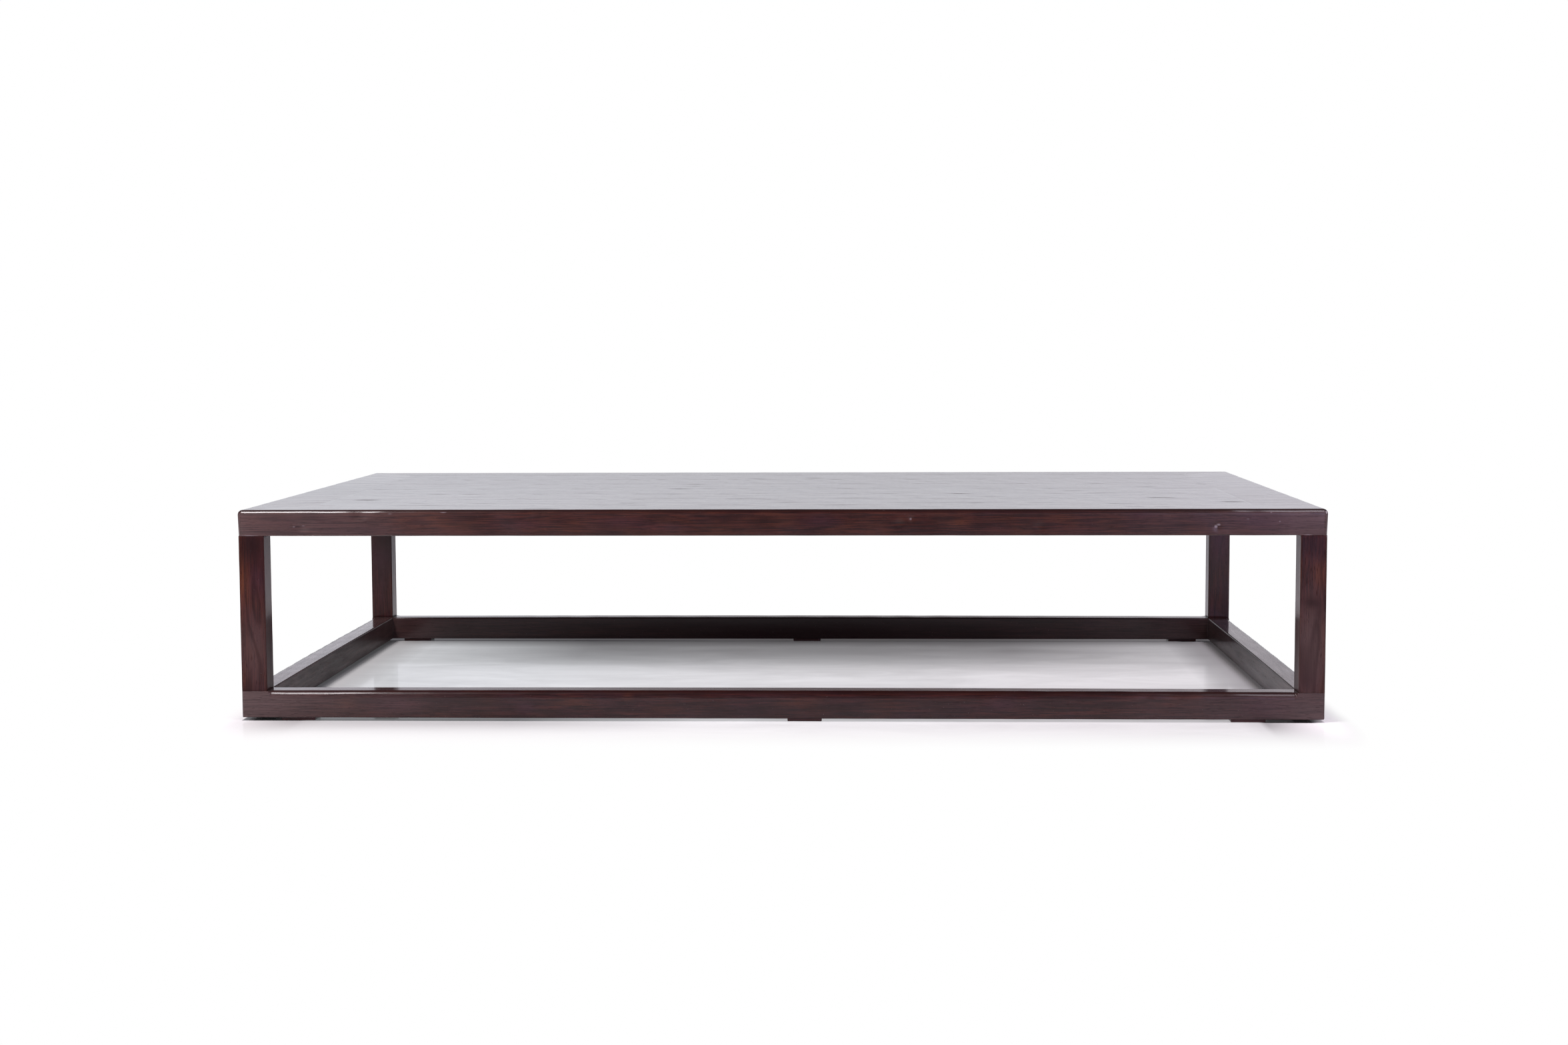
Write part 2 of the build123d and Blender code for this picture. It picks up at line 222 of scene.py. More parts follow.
class Lay(NamedTuple):
    """How a bar lies: the corner that it is measured from, and its three directions."""

    origin: np.ndarray
    along: np.ndarray
    across: np.ndarray
    up: np.ndarray

    def to_world(self, local):
        """The place in the frame of local points."""
        return local @ np.array([self.along, self.across, self.up]) + self.origin

    def from_world(self, points):
        """The local place of points in the frame."""
        return (np.asarray(points) - self.origin) @ np.array([self.along, self.across, self.up]).T


class Dent(NamedTuple):
    """A hollow pressed into a surface: its middle, its reach on each axis and its depth."""

    centre: tuple
    reach: tuple
    depth: float


class Patch(NamedTuple):
    """A patch in the finish: its kind, its middle, its reach on each axis and its strength."""

    kind: int
    centre: tuple
    reach: tuple
    strength: float


WARM, PLUM, DARK_STAIN_AND_SHADE, PAINTED_LIGHT, BARE = range(5)  # the kinds of patch: the first three are stains, and the dark one also paints shade; the fourth is painted light


class Mark(NamedTuple):
    """A dark dash in the figure of the top: its middle, half its length and width, and its strength."""

    centre: tuple
    half_length: float
    half_width: float
    strength: float


def smooth_step(values):
    """0 below 0, 1 above 1, and 3v^2 - 2v^3 between them."""
    share = np.clip(values, 0.0, 1.0)
    return share * share * (3.0 - 2.0 * share)


def soft_waves(places, lengths, seed, count=6):
    """A sum of sines of random length and phase, from about -1 to 1, the same for the same seed."""
    rng = np.random.default_rng(seed)
    wave_lengths = np.exp(rng.uniform(*np.log(lengths), count))
    phases = rng.uniform(0.0, 2.0 * math.pi, count)
    angles = 2.0 * math.pi * places[..., None] / wave_lengths + phases
    return np.sin(angles).sum(-1) / math.sqrt(count)


def apart(places):
    """Which of a sorted run of places don't all but touch the one before."""
    return np.concatenate([[True], np.diff(places) > NEAREST_STATIONS])


def face_stops(length, step, extra=()):
    """Shares of a face's width where its lines run: evenly, near both ends, and at extra places."""
    support = min(EDGE_SUPPORT / length, MOST_SUPPORT)
    even = np.linspace(0.0, 1.0, max(2, round(length / step)) + 1)[1:-1]
    stops = np.unique(np.concatenate([[support, 1.0 - support], even, np.asarray(extra) / length]))
    stops = stops[(stops >= support) & (stops <= 1.0 - support)]
    return stops[apart(stops * length)]


class Ring(NamedTuple):
    """A section at every station: across and up, the outward normal, and 1 on its rounded edges."""

    across: np.ndarray
    up: np.ndarray
    normal_across: np.ndarray
    normal_up: np.ndarray
    edge: np.ndarray


# Outward normals of the underside, the outer face, the upper face and the inner face
FACE_NORMALS = np.array([(0.0, -1.0), (-1.0, 0.0), (0.0, 1.0), (1.0, 0.0)])
# The corners that they meet at, as shares of the width and the height
SECTION_CORNERS = np.array([(0.0, 0.0), (0.0, 1.0), (1.0, 1.0), (1.0, 0.0)])
FACING = 0.5  # how much of a normal points a face's way where it counts as that face's
LEAST_WORN = 0.3 * MM  # edges with less of a round are seams, which nothing rubs


def rounded_section(width, height, radii, step, top_lines=()):
    """A rectangle with four rounded corners, as one ring of points for each station.

    A corner is a quarter circle: its centre plus its radius times a normal that turns from one
    face to the next. A face is the straight line between two corners. The corners come in the
    order outer lower, outer upper, inner upper and inner lower, with a radius for each station.
    """
    turn = np.linspace(0.0, math.pi / 2, ARC_POINTS)[:, None]
    following = np.roll(FACE_NORMALS, -1, axis=0)
    arcs = []
    for corner, (before, after) in enumerate(zip(FACE_NORMALS, following)):
        outwards = before + after
        normals = np.cos(turn) * before + np.sin(turn) * after
        radius = radii[:, corner, None, None]
        arc = SECTION_CORNERS[corner] * (width, height) - radius * outwards + radius * normals
        worn = float(radii[:, corner].max() > LEAST_WORN)
        arcs.append((arc, normals, np.full(ARC_POINTS, worn)))
    pieces = []
    for corner, (arc, normals, edge) in enumerate(arcs):
        start, stop = arc[:, -1:], arcs[(corner + 1) % 4][0][:, :1]
        stops = face_stops((height, width)[corner % 2], step, top_lines if corner == 1 else ())
        face = start + stops[:, None] * (stop - start)
        face_normals = np.tile(following[corner], (len(stops), 1))
        pieces += [(arc, normals, edge), (face, face_normals, np.zeros(len(stops)))]
    points = np.concatenate([piece[0] for piece in pieces], axis=1)
    normals = np.concatenate([piece[1] for piece in pieces])
    edge = np.concatenate([piece[2] for piece in pieces])
    return Ring(points[..., 0], points[..., 1], normals[:, 0], normals[:, 1], edge)


def run_stations(low, high, step, fine=()):
    """Places along a bar: evenly, and closer together round each (middle, reach) in fine."""
    even = np.linspace(low, high, round((high - low) / step) + 1)
    close = [np.linspace(middle - reach, middle + reach, FINE_POINTS) for middle, reach in fine]
    places = np.unique(np.concatenate([even, *close]))
    places = places[(places >= low) & (places <= high)]
    kept = apart(places)
    kept[-1] = True
    return places[kept]


def planing_waves(along, ring, seed):
    """How far the plane's waves lift each point: they run askew, along + (across + 2 up) / 3."""
    askew = along + (ring.across + 2.0 * ring.up) / 3.0
    return bpy.context.scene.kang_shape.planing * soft_waves(askew, PLANING_WAVES, seed)


def press(points, normals, lay, dents):
    """Moves points inwards by depth * exp(-(distance / reach)^2) of every dent."""
    axes = np.abs(np.array([lay.along, lay.across, lay.up]))
    for dent in dents:
        away = (points - lay.from_world(dent.centre)) / (axes @ np.array(dent.reach))
        hollow = dent.depth * np.exp(-(away**2).sum(-1))
        points = points - hollow[..., None] * normals
    return points


def mark_strength(points, lay, marks):
    """How dark the figure is at each point: the strongest mark there, fading as exp(-distance^4)."""
    world = lay.to_world(points)
    darkness = np.zeros(points.shape[:2])
    for mark in marks:
        away = (world[..., :2] - mark.centre) / (mark.half_length, mark.half_width)
        darkness = np.maximum(darkness, mark.strength * np.exp(-((away**2).sum(-1) ** 2)))
    return darkness


def patch_shares(points, lay, patches):
    """How warm, plum and dark the stain is, with painted shade in the dark share, how much painted light
    there is and how bare the finish is: the sums of strength * exp(-distance^2).
    """
    world = lay.to_world(points)
    shares = np.zeros((*points.shape[:-1], BARE + 1))
    for patch in patches:
        away = (world - patch.centre) / patch.reach
        shares[..., patch.kind] += patch.strength * np.exp(-(away**2).sum(-1))
    return np.minimum(shares, 1.0)


def end_painted_light(places, half_length, seed):
    """How much painted light lightens a rail towards its ends: exp(-distance / reach) from either end,
    with soft waves in it.
    """
    waves = 1.0 + PAINTED_LIGHT_UNEVENNESS * soft_waves(places, PAINTED_LIGHT_WAVES, seed + PAINTED_LIGHT_SEED)
    return np.clip(np.exp((np.abs(places) - half_length) / PAINTED_LIGHT_REACH) * waves, 0.0, 1.0)


class Traits(NamedTuple):
    """What the finish reads from a skin's points: edges, marks, bare faces, painted light, and the stain,
    whose dark share also holds painted shade.
    """

    edge: np.ndarray
    mark: np.ndarray
    bare: np.ndarray
    haze: np.ndarray
    stain: np.ndarray


TRAIT_NAMES = ("edge", "mark", "bare", "haze")  # those that are single values


def make_skin(name, lay, points, traits, material, eased=False):
    """Joins a grid of points into a closed skin with a flat cap at each end.

    Narrow strips along the skin are shaded flat, and so are the first and last strips round it
    if its ends are eased.
    """
    stations, around = points.shape[:2]
    index = np.arange(stations * around).reshape(stations, around)
    after = np.roll(index, -1, axis=1)
    quads = np.stack([index[:-1], index[1:], after[1:], after[:-1]], axis=-1).reshape(-1, 4)
    caps = [index[0].tolist(), index[-1, ::-1].tolist()]
    mesh = bpy.data.meshes.new(name)
    mesh.from_pydata(lay.to_world(points).reshape(-1, 3), [], quads.tolist() + caps)
    strips = np.linalg.norm(np.roll(points, -1, axis=1) - points, axis=-1).max(axis=0)
    smooth = np.tile(strips > NARROW, (stations - 1, 1))
    if eased:
        smooth[[0, -1]] = False
    mesh.polygons.foreach_set("use_smooth", np.append(smooth, [False] * len(caps)))
    for attribute in TRAIT_NAMES:
        values = np.broadcast_to(getattr(traits, attribute), (stations, around))
        mesh.attributes.new(attribute, "FLOAT", "POINT").data.foreach_set("value", values.ravel())
    stain = mesh.attributes.new("stain", "FLOAT_VECTOR", "POINT")
    stain.data.foreach_set("vector", traits.stain.ravel())
    mesh.materials.append(material)
    mesh.validate()
    piece = bpy.data.objects.new(name, mesh)
    bpy.context.scene.collection.objects.link(piece)
    return piece


def finish_piece(piece, node):
    """Puts a piece in the place of its CAD node, on the table's one body."""
    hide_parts(node)
    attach(piece, "root")


def marks_on(lay, low, high):
    """The marks of the top whose middle lies on a bar, given its local corners."""
    found = []
    for mark in TOP_MARKS:
        along, across, _ = lay.from_world((*mark.centre, lay.origin[2]))
        if low[0] < along < high[0] and low[1] < across < high[1]:
            found.append(mark)
    return found


def lines_for(lay, marks):
    """Lines across the upper face that a bar needs to show its marks."""
    lines = [lay.from_world((*mark.centre, 0.0))[1] + MARK_LINES * mark.half_width for mark in marks]
    return np.concatenate(lines) if lines else ()


def fine_places(lay, marks, dents=()):
    """Stations that a bar needs to show its marks and dents, as (middle, reach)."""
    reach = DENT_REACH * np.abs(lay.along)
    places = [(lay.from_world((*m.centre, 0.0))[0], MARK_REACH * m.half_length) for m in marks]
    return places + [(lay.from_world(d.centre)[0], reach @ np.array(d.reach)) for d in dents]


# --- The table's sizes, read from the frame -------------------------------------------------------


def node_box(node):
    """The lowest and highest corner of a CAD node, as arrays."""
    low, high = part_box(node)
    return np.array(low), np.array(high)


HALF_LENGTH = cad_high.x
HALF_DEPTH = cad_high.y
TOP_RAIL_LOW, TOP_RAIL_HIGH = node_box("top_left_rail")
BASE_RAIL_LOW, BASE_RAIL_HIGH = node_box("base_left_rail")
LEG_LOW, LEG_HIGH = node_box("leg_front_left")
TOP_RAIL_WIDTH = TOP_RAIL_HIGH[0] - TOP_RAIL_LOW[0]
BASE_RAIL_WIDTH = BASE_RAIL_HIGH[0] - BASE_RAIL_LOW[0]
LEG_SIZE = LEG_HIGH[0] - LEG_LOW[0]
BOARD_THICKNESS = 18.0 * MM
BOARD_SEAM = SHARP_RADIUS
BOARDS = sorted(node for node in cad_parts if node.startswith("top_board_"))
PADS = sorted(
    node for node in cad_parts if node.startswith("floor_pad_") and node != "floor_pad_nails"
)
# The side of the table that each rail lies on, as the direction that points inwards from it
INWARDS = {"front": Y, "back": -Y, "left": X, "right": -X}
LONG_SIDES = ("front", "back")

# --- Wear, the marks of use, and painted light and shade ------------------------------------------

WAVE_FADE = 10.0 * MM  # how far from a joint the waves of the planing fade out
PAINTED_LIGHT_REACH = 170.0 * MM  # how far from a corner the painted light on a rail reaches
PAINTED_LIGHT_UNEVENNESS = 0.25  # how much soft waves add to it or take away, as a share
PATCH_DEPTH = 20.0 * MM  # how far behind the face a patch reaches
WEAR_REACH = 9.0 * MM  # how far from its outer edge a leg is worn
RIM_LOW, RIM_HIGH = 0.45, 0.75  # how far up a normal points where a rail's rounded edge gets its dark rim of painted shade, and its rubbed wear

# How much thinner the lacquer is
BARE_SIDES = {"base_left_rail": 0.8, "base_right_rail": 0.5}  # on the inner faces of these rails
BARE_RIMS = {"top": 0.0, "base": 0.33}  # on the rounded edges of both frames
BARE_FRONT = 0.44  # on the front faces of the front legs
BARE_FEET = 0.85  # on their other faces, at the foot
BARE_FEET_TOP = 210.0 * MM  # how high up that starts
BARE_FEET_FADE = 110.0 * MM  # and how much lower the loss is full

# Dark dashes and knots in the figure of the top, in millimetres:
# (x, y, half length, half width, strength)
TOP_MARKS = [
    Mark((x * MM, y * MM), half_length * MM, half_width * MM, strength)
    for x, y, half_length, half_width, strength in (
        (-750, -287, 22, 8, 1.0),
        (-828, -347, 26, 5, 0.5),
        (-635, -377, 20, 4, 0.5),
        (-525, -373, 24, 4, 0.5),
        (-475, -247, 16, 4, 0.4),
        (-405, -497, 34, 6, 0.8),
        (-372, -119, 22, 5, 0.5),
        (-265, -373, 20, 5, 0.7),
        (-202, -247, 70, 4, 0.6),
        (-205, -5, 18, 6, 0.7),
        (-190, 73, 16, 6, 0.6),
        (-110, -150, 24, 5, 0.5),
        (-70, -263, 38, 5, 0.7),
        (-75, 303, 20, 7, 0.7),
        (12, -353, 30, 5, 0.7),
        (40, 323, 18, 7, 0.6),
        (120, -253, 38, 5, 0.7),
        (290, -361, 100, 4, 0.6),
        (340, -373, 14, 7, 0.8),
        (325, -147, 18, 5, 0.6),
        (380, -211, 22, 4, 0.5),
        (455, -363, 26, 5, 0.6),
        (495, -11, 18, 6, 0.5),
        (535, -72, 22, 5, 0.6),
        (585, -130, 24, 5, 0.6),
        (590, -393, 24, 6, 0.7),
        (605, -463, 18, 5, 0.6),
        (652, -467, 16, 5, 0.6),
        (675, -255, 26, 8, 1.0),
        (685, 33, 20, 6, 0.6),
        (785, -357, 22, 10, 0.9),
        (810, 113, 20, 6, 0.6),
    )
]

# Knocks on the rails, in millimetres: (x, y, z, reach on each axis, depth)
DENTS = [
    Dent((x * MM, y * MM, z * MM), tuple(reach * MM for reach in reaches), depth * MM)
    for x, y, z, reaches, depth in (
        (734, -525, 331, (5, 6, 4), 0.7),
        (204, -525, 336, (6, 6, 4), 0.3),
        (223, -525, 344, (4, 5, 4), 0.4),
        (-804, -525, 332, (14, 6, 7), 0.35),
        (-706, -525, 349, (12, 6, 4), 0.4),
        (438, -525, 331, (7, 5, 5), 0.3),
        (-420, -525, 353, (10, 5, 4), 0.35),
        (92, -525, 355, (8, 5, 3), 0.3),
        (-330, -525, 46, (16, 5, 4), 0.5),
        (-140, -525, 47, (22, 5, 4), 0.4),
        (60, -525, 47, (12, 5, 4), 0.5),
        (410, -525, 46, (18, 5, 4), 0.4),
        (620, -525, 46, (10, 5, 4), 0.4),
    )
]

# Patches in the finish by the Y of their middle, in millimetres:
# (kind, x, z, reach along, reach up, strength)
PATCH_ROWS = {
    -525: (
        (WARM, -638, 345, 25, 8, 0.5),
        (WARM, -610, 330, 32, 7, 0.5),
        (WARM, -584, 347, 20, 8, 0.6),
        (WARM, -497, 346, 16, 7, 0.5),
        (WARM, -345, 338, 22, 9, 0.6),
        (WARM, -170, 342, 55, 9, 0.4),
        (WARM, 150, 341, 28, 9, 0.5),
        (WARM, 305, 338, 26, 9, 0.6),
        (WARM, 370, 345, 35, 7, 0.45),
        (WARM, 470, 345, 50, 9, 0.7),
        (WARM, 560, 330, 40, 6, 0.3),
        (WARM, -737, 30, 18, 9, 0.4),
        (WARM, -350, 32, 45, 8, 0.4),
        (WARM, -255, 42, 9, 8, 0.5),
        (WARM, 40, 33, 40, 9, 0.4),
        (WARM, 665, 38, 18, 8, 0.5),
        (WARM, 700, 44, 16, 5, 0.5),
        (WARM, -909, 230, 11, 45, 0.9),
        (WARM, -912, 90, 7, 40, 0.2),
        (WARM, 907, 252, 15, 32, 0.8),
        (WARM, 912, 150, 7, 40, 0.5),
        (WARM, 913, 62, 6, 16, 0.7),
        (PLUM, -800, 338, 60, 14, 0.2),
        (PLUM, -700, 325, 60, 8, 0.3),
        (PLUM, -440, 335, 50, 9, 0.4),
        (PLUM, -270, 340, 45, 9, 0.5),
        (PLUM, -190, 330, 45, 7, 0.4),
        (PLUM, 70, 340, 40, 10, 0.4),
        (PLUM, 612, 350, 20, 6, 0.5),
        (PLUM, 790, 338, 60, 12, 0.5),
        (PLUM, 885, 340, 40, 22, 0.7),
        (PLUM, -880, 30, 40, 18, 0.4),
        (PLUM, -650, 28, 45, 14, 0.5),
        (PLUM, -430, 24, 20, 12, 0.5),
        (PLUM, 375, 30, 30, 14, 0.5),
        (PLUM, 820, 28, 45, 18, 0.6),
        (PLUM, -886, 240, 16, 34, 0.4),
        (PLUM, 890, 78, 22, 28, 0.5),
        (DARK_STAIN_AND_SHADE, -790, 346, 20, 3, 0.5),
        (DARK_STAIN_AND_SHADE, -523, 346, 22, 7, 0.6),
        (DARK_STAIN_AND_SHADE, -455, 340, 14, 5, 0.6),
        (DARK_STAIN_AND_SHADE, -300, 335, 22, 7, 0.35),
        (DARK_STAIN_AND_SHADE, -90, 341, 8, 4, 0.6),
        (DARK_STAIN_AND_SHADE, -20, 340, 60, 10, 0.25),
        (DARK_STAIN_AND_SHADE, 240, 332, 18, 4, 0.4),
        (DARK_STAIN_AND_SHADE, 440, 350, 12, 6, 0.5),
        (DARK_STAIN_AND_SHADE, 680, 333, 45, 3, 0.45),
        (DARK_STAIN_AND_SHADE, 723, 332, 5, 4, 0.6),
        (DARK_STAIN_AND_SHADE, -530, 30, 60, 14, 0.35),
        (DARK_STAIN_AND_SHADE, 240, 30, 60, 12, 0.3),
        (DARK_STAIN_AND_SHADE, -893, 300, 20, 30, 0.9),
        (DARK_STAIN_AND_SHADE, 895, 300, 22, 16, 0.4),
        (DARK_STAIN_AND_SHADE, 893, 203, 15, 9, 0.6),
        (DARK_STAIN_AND_SHADE, 905, 183, 6, 16, 0.4),
        # Painted light and painted highlights: lighter rail ends and corners, glints by the dents, and
        # the front legs lighter low down
        (PAINTED_LIGHT, -897, 318, 16, 1.8, 0.9),
        (PAINTED_LIGHT, -903, 338, 14, 8, 0.6),
        (PAINTED_LIGHT, -812, 336, 2, 2, 1.0),
        (PAINTED_LIGHT, -803, 339, 2, 1.5, 0.6),
        (PAINTED_LIGHT, 497, 342, 1.5, 5, 0.5),
        (PAINTED_LIGHT, 573, 339, 1.5, 5, 0.5),
        (PAINTED_LIGHT, 905, 338, 32, 26, 0.9),
        (PAINTED_LIGHT, 912, 350, 7, 9, 1.0),
        (PAINTED_LIGHT, 800, 342, 4, 1.5, 0.5),
        (PAINTED_LIGHT, -893, 120, 30, 75, 0.6),
        (PAINTED_LIGHT, 893, 125, 30, 95, 1.0),
    ),
    481: (
        (WARM, 893, 295, 20, 25, 0.5),
        (PLUM, -897, 185, 20, 30, 0.7),
        (PLUM, 895, 215, 20, 45, 0.8),
        # Painted shade: the back left leg and the middle of the back rail darker, under the top
        (DARK_STAIN_AND_SHADE, -895, 250, 30, 110, 1.0),
        (DARK_STAIN_AND_SHADE, 0, 28, 560, 80, 1.0),
        (BARE, 0, 15, 420, 30, 0.7),
    ),
    -503: ((BARE, 0, 50, 450, 6, 0.16),),
}
PATCHES = [
    Patch(kind, (x * MM, y * MM, z * MM), (reach * MM, PATCH_DEPTH, rise * MM), strength)
    for y, rows in PATCH_ROWS.items()
    for kind, x, z, reach, rise, strength in rows
]

# Bright spots on the top front rail, in millimetres: painted highlights that glint on its dents and
# edges, and chipped lacquer:
# (x, z, reach along, reach up, strength)
CHIPS_AND_GLINTS = (
    (731.7, 331.0, 3.4, 3.4, 0.6),
    (736.2, 334.0, 4.2, 2.4, 0.5),
    (-820.5, 331.7, 2.6, 1.4, 0.3),
    (-804.5, 333.4, 3.4, 1.2, 0.2),
    (-565.3, 355.8, 7.0, 1.2, 0.3),
    (-656.0, 353.6, 5.0, 1.2, 0.2),
    (223.0, 344.0, 2.6, 2.6, 0.4),
    (837.4, 339.4, 2.2, 1.8, 0.3),
    (823.0, 354.6, 2.2, 1.4, 0.3),
    (784.7, 343.6, 3.4, 1.4, 0.2),
    (884.3, 316.8, 9.0, 0.7, 0.5),
    (-897.0, 316.8, 18.0, 0.7, 0.4),
)


def inside(things, low, high):
    """The dents or patches whose middle lies in a box of the frame, or within a millimetre of it."""
    low, high = low - MM, high + MM
    return [thing for thing in things if all(low <= thing.centre) and all(thing.centre <= high)]


# --- Rails of the two frames ----------------------------------------------------------------------

FAN_LENGTH = 150.0 * MM  # how far from a corner the stations of a rail start to fan out
LEAST_BEND = 0.5 * MM  # the smallest radius that a line turns a frame's corner with


def framed_path(places, bends, across, half_length, corner):
    """Where the line at an inward distance from a frame's outer face runs, on one side of the frame.

    It runs straight to the corner and then turns through 45 degrees about the corner's centre, with
    what is left of the corner's round as its radius: centre + radius * sin(turn) along, and
    distance + radius * (1 - cos(turn)) across, so that it ends on the mitre. Stations in the
    middle of the side run straight across the rail, and the last ones fan out to the mitre.
    """
    radius = np.maximum(corner - across, LEAST_BEND)
    reach = half_length - across - radius
    side = np.sign(places)[:, None]
    straight_end = half_length - corner
    fan_start = straight_end - FAN_LENGTH
    share = np.clip((np.abs(places)[:, None] - fan_start) / (straight_end - fan_start), 0.0, 1.0)
    straight = np.minimum(np.abs(places)[:, None], fan_start) + share * (reach - fan_start)
    turn = np.abs(bends)[:, None]
    along = side * (straight + radius * np.sin(turn))
    return along, across + radius * (1.0 - np.cos(turn))


def rail_stations(straight_end, fine):
    """Stations of a rail: their places on its straight part, and their turns round its corners."""
    run = run_stations(-straight_end, straight_end, bpy.context.scene.kang_shape.grid, fine)
    turn = np.linspace(0.0, math.pi / 4, TURN_POINTS)[1:]
    ends = np.full(len(turn), straight_end)
    places = np.concatenate([-ends, run, ends])
    return places, np.concatenate([-turn[::-1], np.zeros(len(run)), turn])


def rail_traits(node, lay, points, ring, marks, half_length, seed):
    """What the finish of a rail reads: its rim, which carries painted shade and rubbed wear, its marks,
    painted light and patches, and where it is bare.
    """
    shares = patch_shares(points, lay, inside(PATCHES, *node_box(node)))
    mark = mark_strength(points, lay, marks) * (ring.normal_up > FACING)
    bare = BARE_SIDES.get(node, 0.0) * (ring.normal_across > FACING) + shares[..., BARE]
    bare = np.maximum(bare, BARE_RIMS[node.split("_")[0]] * ring.edge)
    haze = np.maximum(end_painted_light(points[..., 0], half_length, seed), shares[..., PAINTED_LIGHT])
    # the upper part of each rounded edge, where a dark rim of painted shade and the rubbed wear go
    rim = ring.edge * smooth_step((ring.normal_up - RIM_LOW) / (RIM_HIGH - RIM_LOW))
    return Traits(rim, mark, bare, haze, shares[..., :PAINTED_LIGHT])


def framed_rail(node, side, width, corner, round_edges, lean, camber, material, seed):
    """The skin of one rail of a frame, with rounded edges that fade out beside the legs.

    The outer face leans out by the lean at its upper edge, and the section grows in height by the
    camber towards the middle of the rail: camber * (1 - (place / half length)^2).
    """
    shape = bpy.context.scene.kang_shape
    low, high = node_box(node)
    inwards = INWARDS[side]
    outer = abs(inwards @ (HALF_LENGTH, HALF_DEPTH, 0.0))
    half_length = abs(np.cross(inwards, Z) @ (HALF_LENGTH, HALF_DEPTH, 0.0)) - shape.hairline
    lay = Lay(low[2] * Z - outer * inwards, np.cross(inwards, Z), inwards, Z)
    height = high[2] - low[2]
    on_top = node.startswith("top")
    marks = marks_on(lay, (-half_length, 0.0), (half_length, width)) if on_top else []
    dents = inside(DENTS, low, high)
    leg_face = half_length - LEG_SIZE
    fades = [(end * (leg_face - shape.edge_fade), 2.0 * shape.edge_fade) for end in (-1, 1)]
    places, bends = rail_stations(half_length - corner, fine_places(lay, marks, dents) + fades)

    def path(across):
        return framed_path(places, bends, across, half_length, corner)

    def fade(along):
        return smooth_step((leg_face - np.abs(along)) / shape.edge_fade)

    outer_along, inner_along = (path(np.full((1, 1), face))[0][:, 0] for face in (0.0, width))
    radii = round_edges(outer_along, fade(outer_along), fade(inner_along), seed)
    radii = np.maximum(radii, SHARP_RADIUS)
    ring = rounded_section(width, height, radii, shape.grid, lines_for(lay, marks))
    along, _ = path(ring.across)
    waves = planing_waves(along, ring, seed) * smooth_step((width - ring.across) / WAVE_FADE)
    rise = ring.up / height
    across = ring.across + ring.normal_across * waves - lean * rise * (1.0 - ring.across / width)
    swelling = camber * (1.0 - (along / half_length) ** 2)
    up = ring.up + ring.normal_up * waves + swelling * rise
    points = np.stack([*path(across), up], axis=-1)
    turned = bends[:, None]
    sideways, forwards = -ring.normal_across * np.sin(turned), ring.normal_across * np.cos(turned)
    normals = np.stack([sideways, forwards, np.broadcast_to(ring.normal_up, along.shape)], axis=-1)
    traits = rail_traits(node, lay, points, ring, marks, half_length, seed)
    return make_skin(f"{node}_skin", lay, press(points, normals, lay, dents), traits, material)


def top_rail_edges(along, outer_fade, inner_fade, seed):
    """Radii of a top rail's edges: only the lower outer one fades out beside the legs."""
    shape = bpy.context.scene.kang_shape
    wobble = 1.0 + shape.top_wobble * soft_waves(along, TOP_EDGE_WAVES, seed + EDGE_SEED)
    upper = shape.top_edge * np.clip(wobble, *TOP_EDGE_LIMITS)
    foot = np.maximum(shape.top_foot * outer_fade, shape.joint_ease)
    seam = np.full_like(along, shape.seam_edge)
    return np.stack([foot, upper, seam, seam + shape.top_foot / 2], axis=-1)


def base_rail_edges(along, outer_fade, inner_fade, seed):
    """Radii of a base rail's edges: the upper ones stop at the legs."""
    shape = bpy.context.scene.kang_shape
    wobble = 1.0 + shape.base_wobble * soft_waves(along, BASE_EDGE_WAVES, seed + EDGE_SEED)
    upper = shape.base_edge * np.clip(wobble, *BASE_EDGE_LIMITS)
    outer = np.maximum(upper * outer_fade, shape.joint_ease)
    foot = np.full_like(along, shape.base_foot)
    return np.stack([foot, outer, shape.base_inner_edge * inner_fade, foot], axis=-1)


# --- Straight bars: boards, legs and pads ---------------------------------------------------------


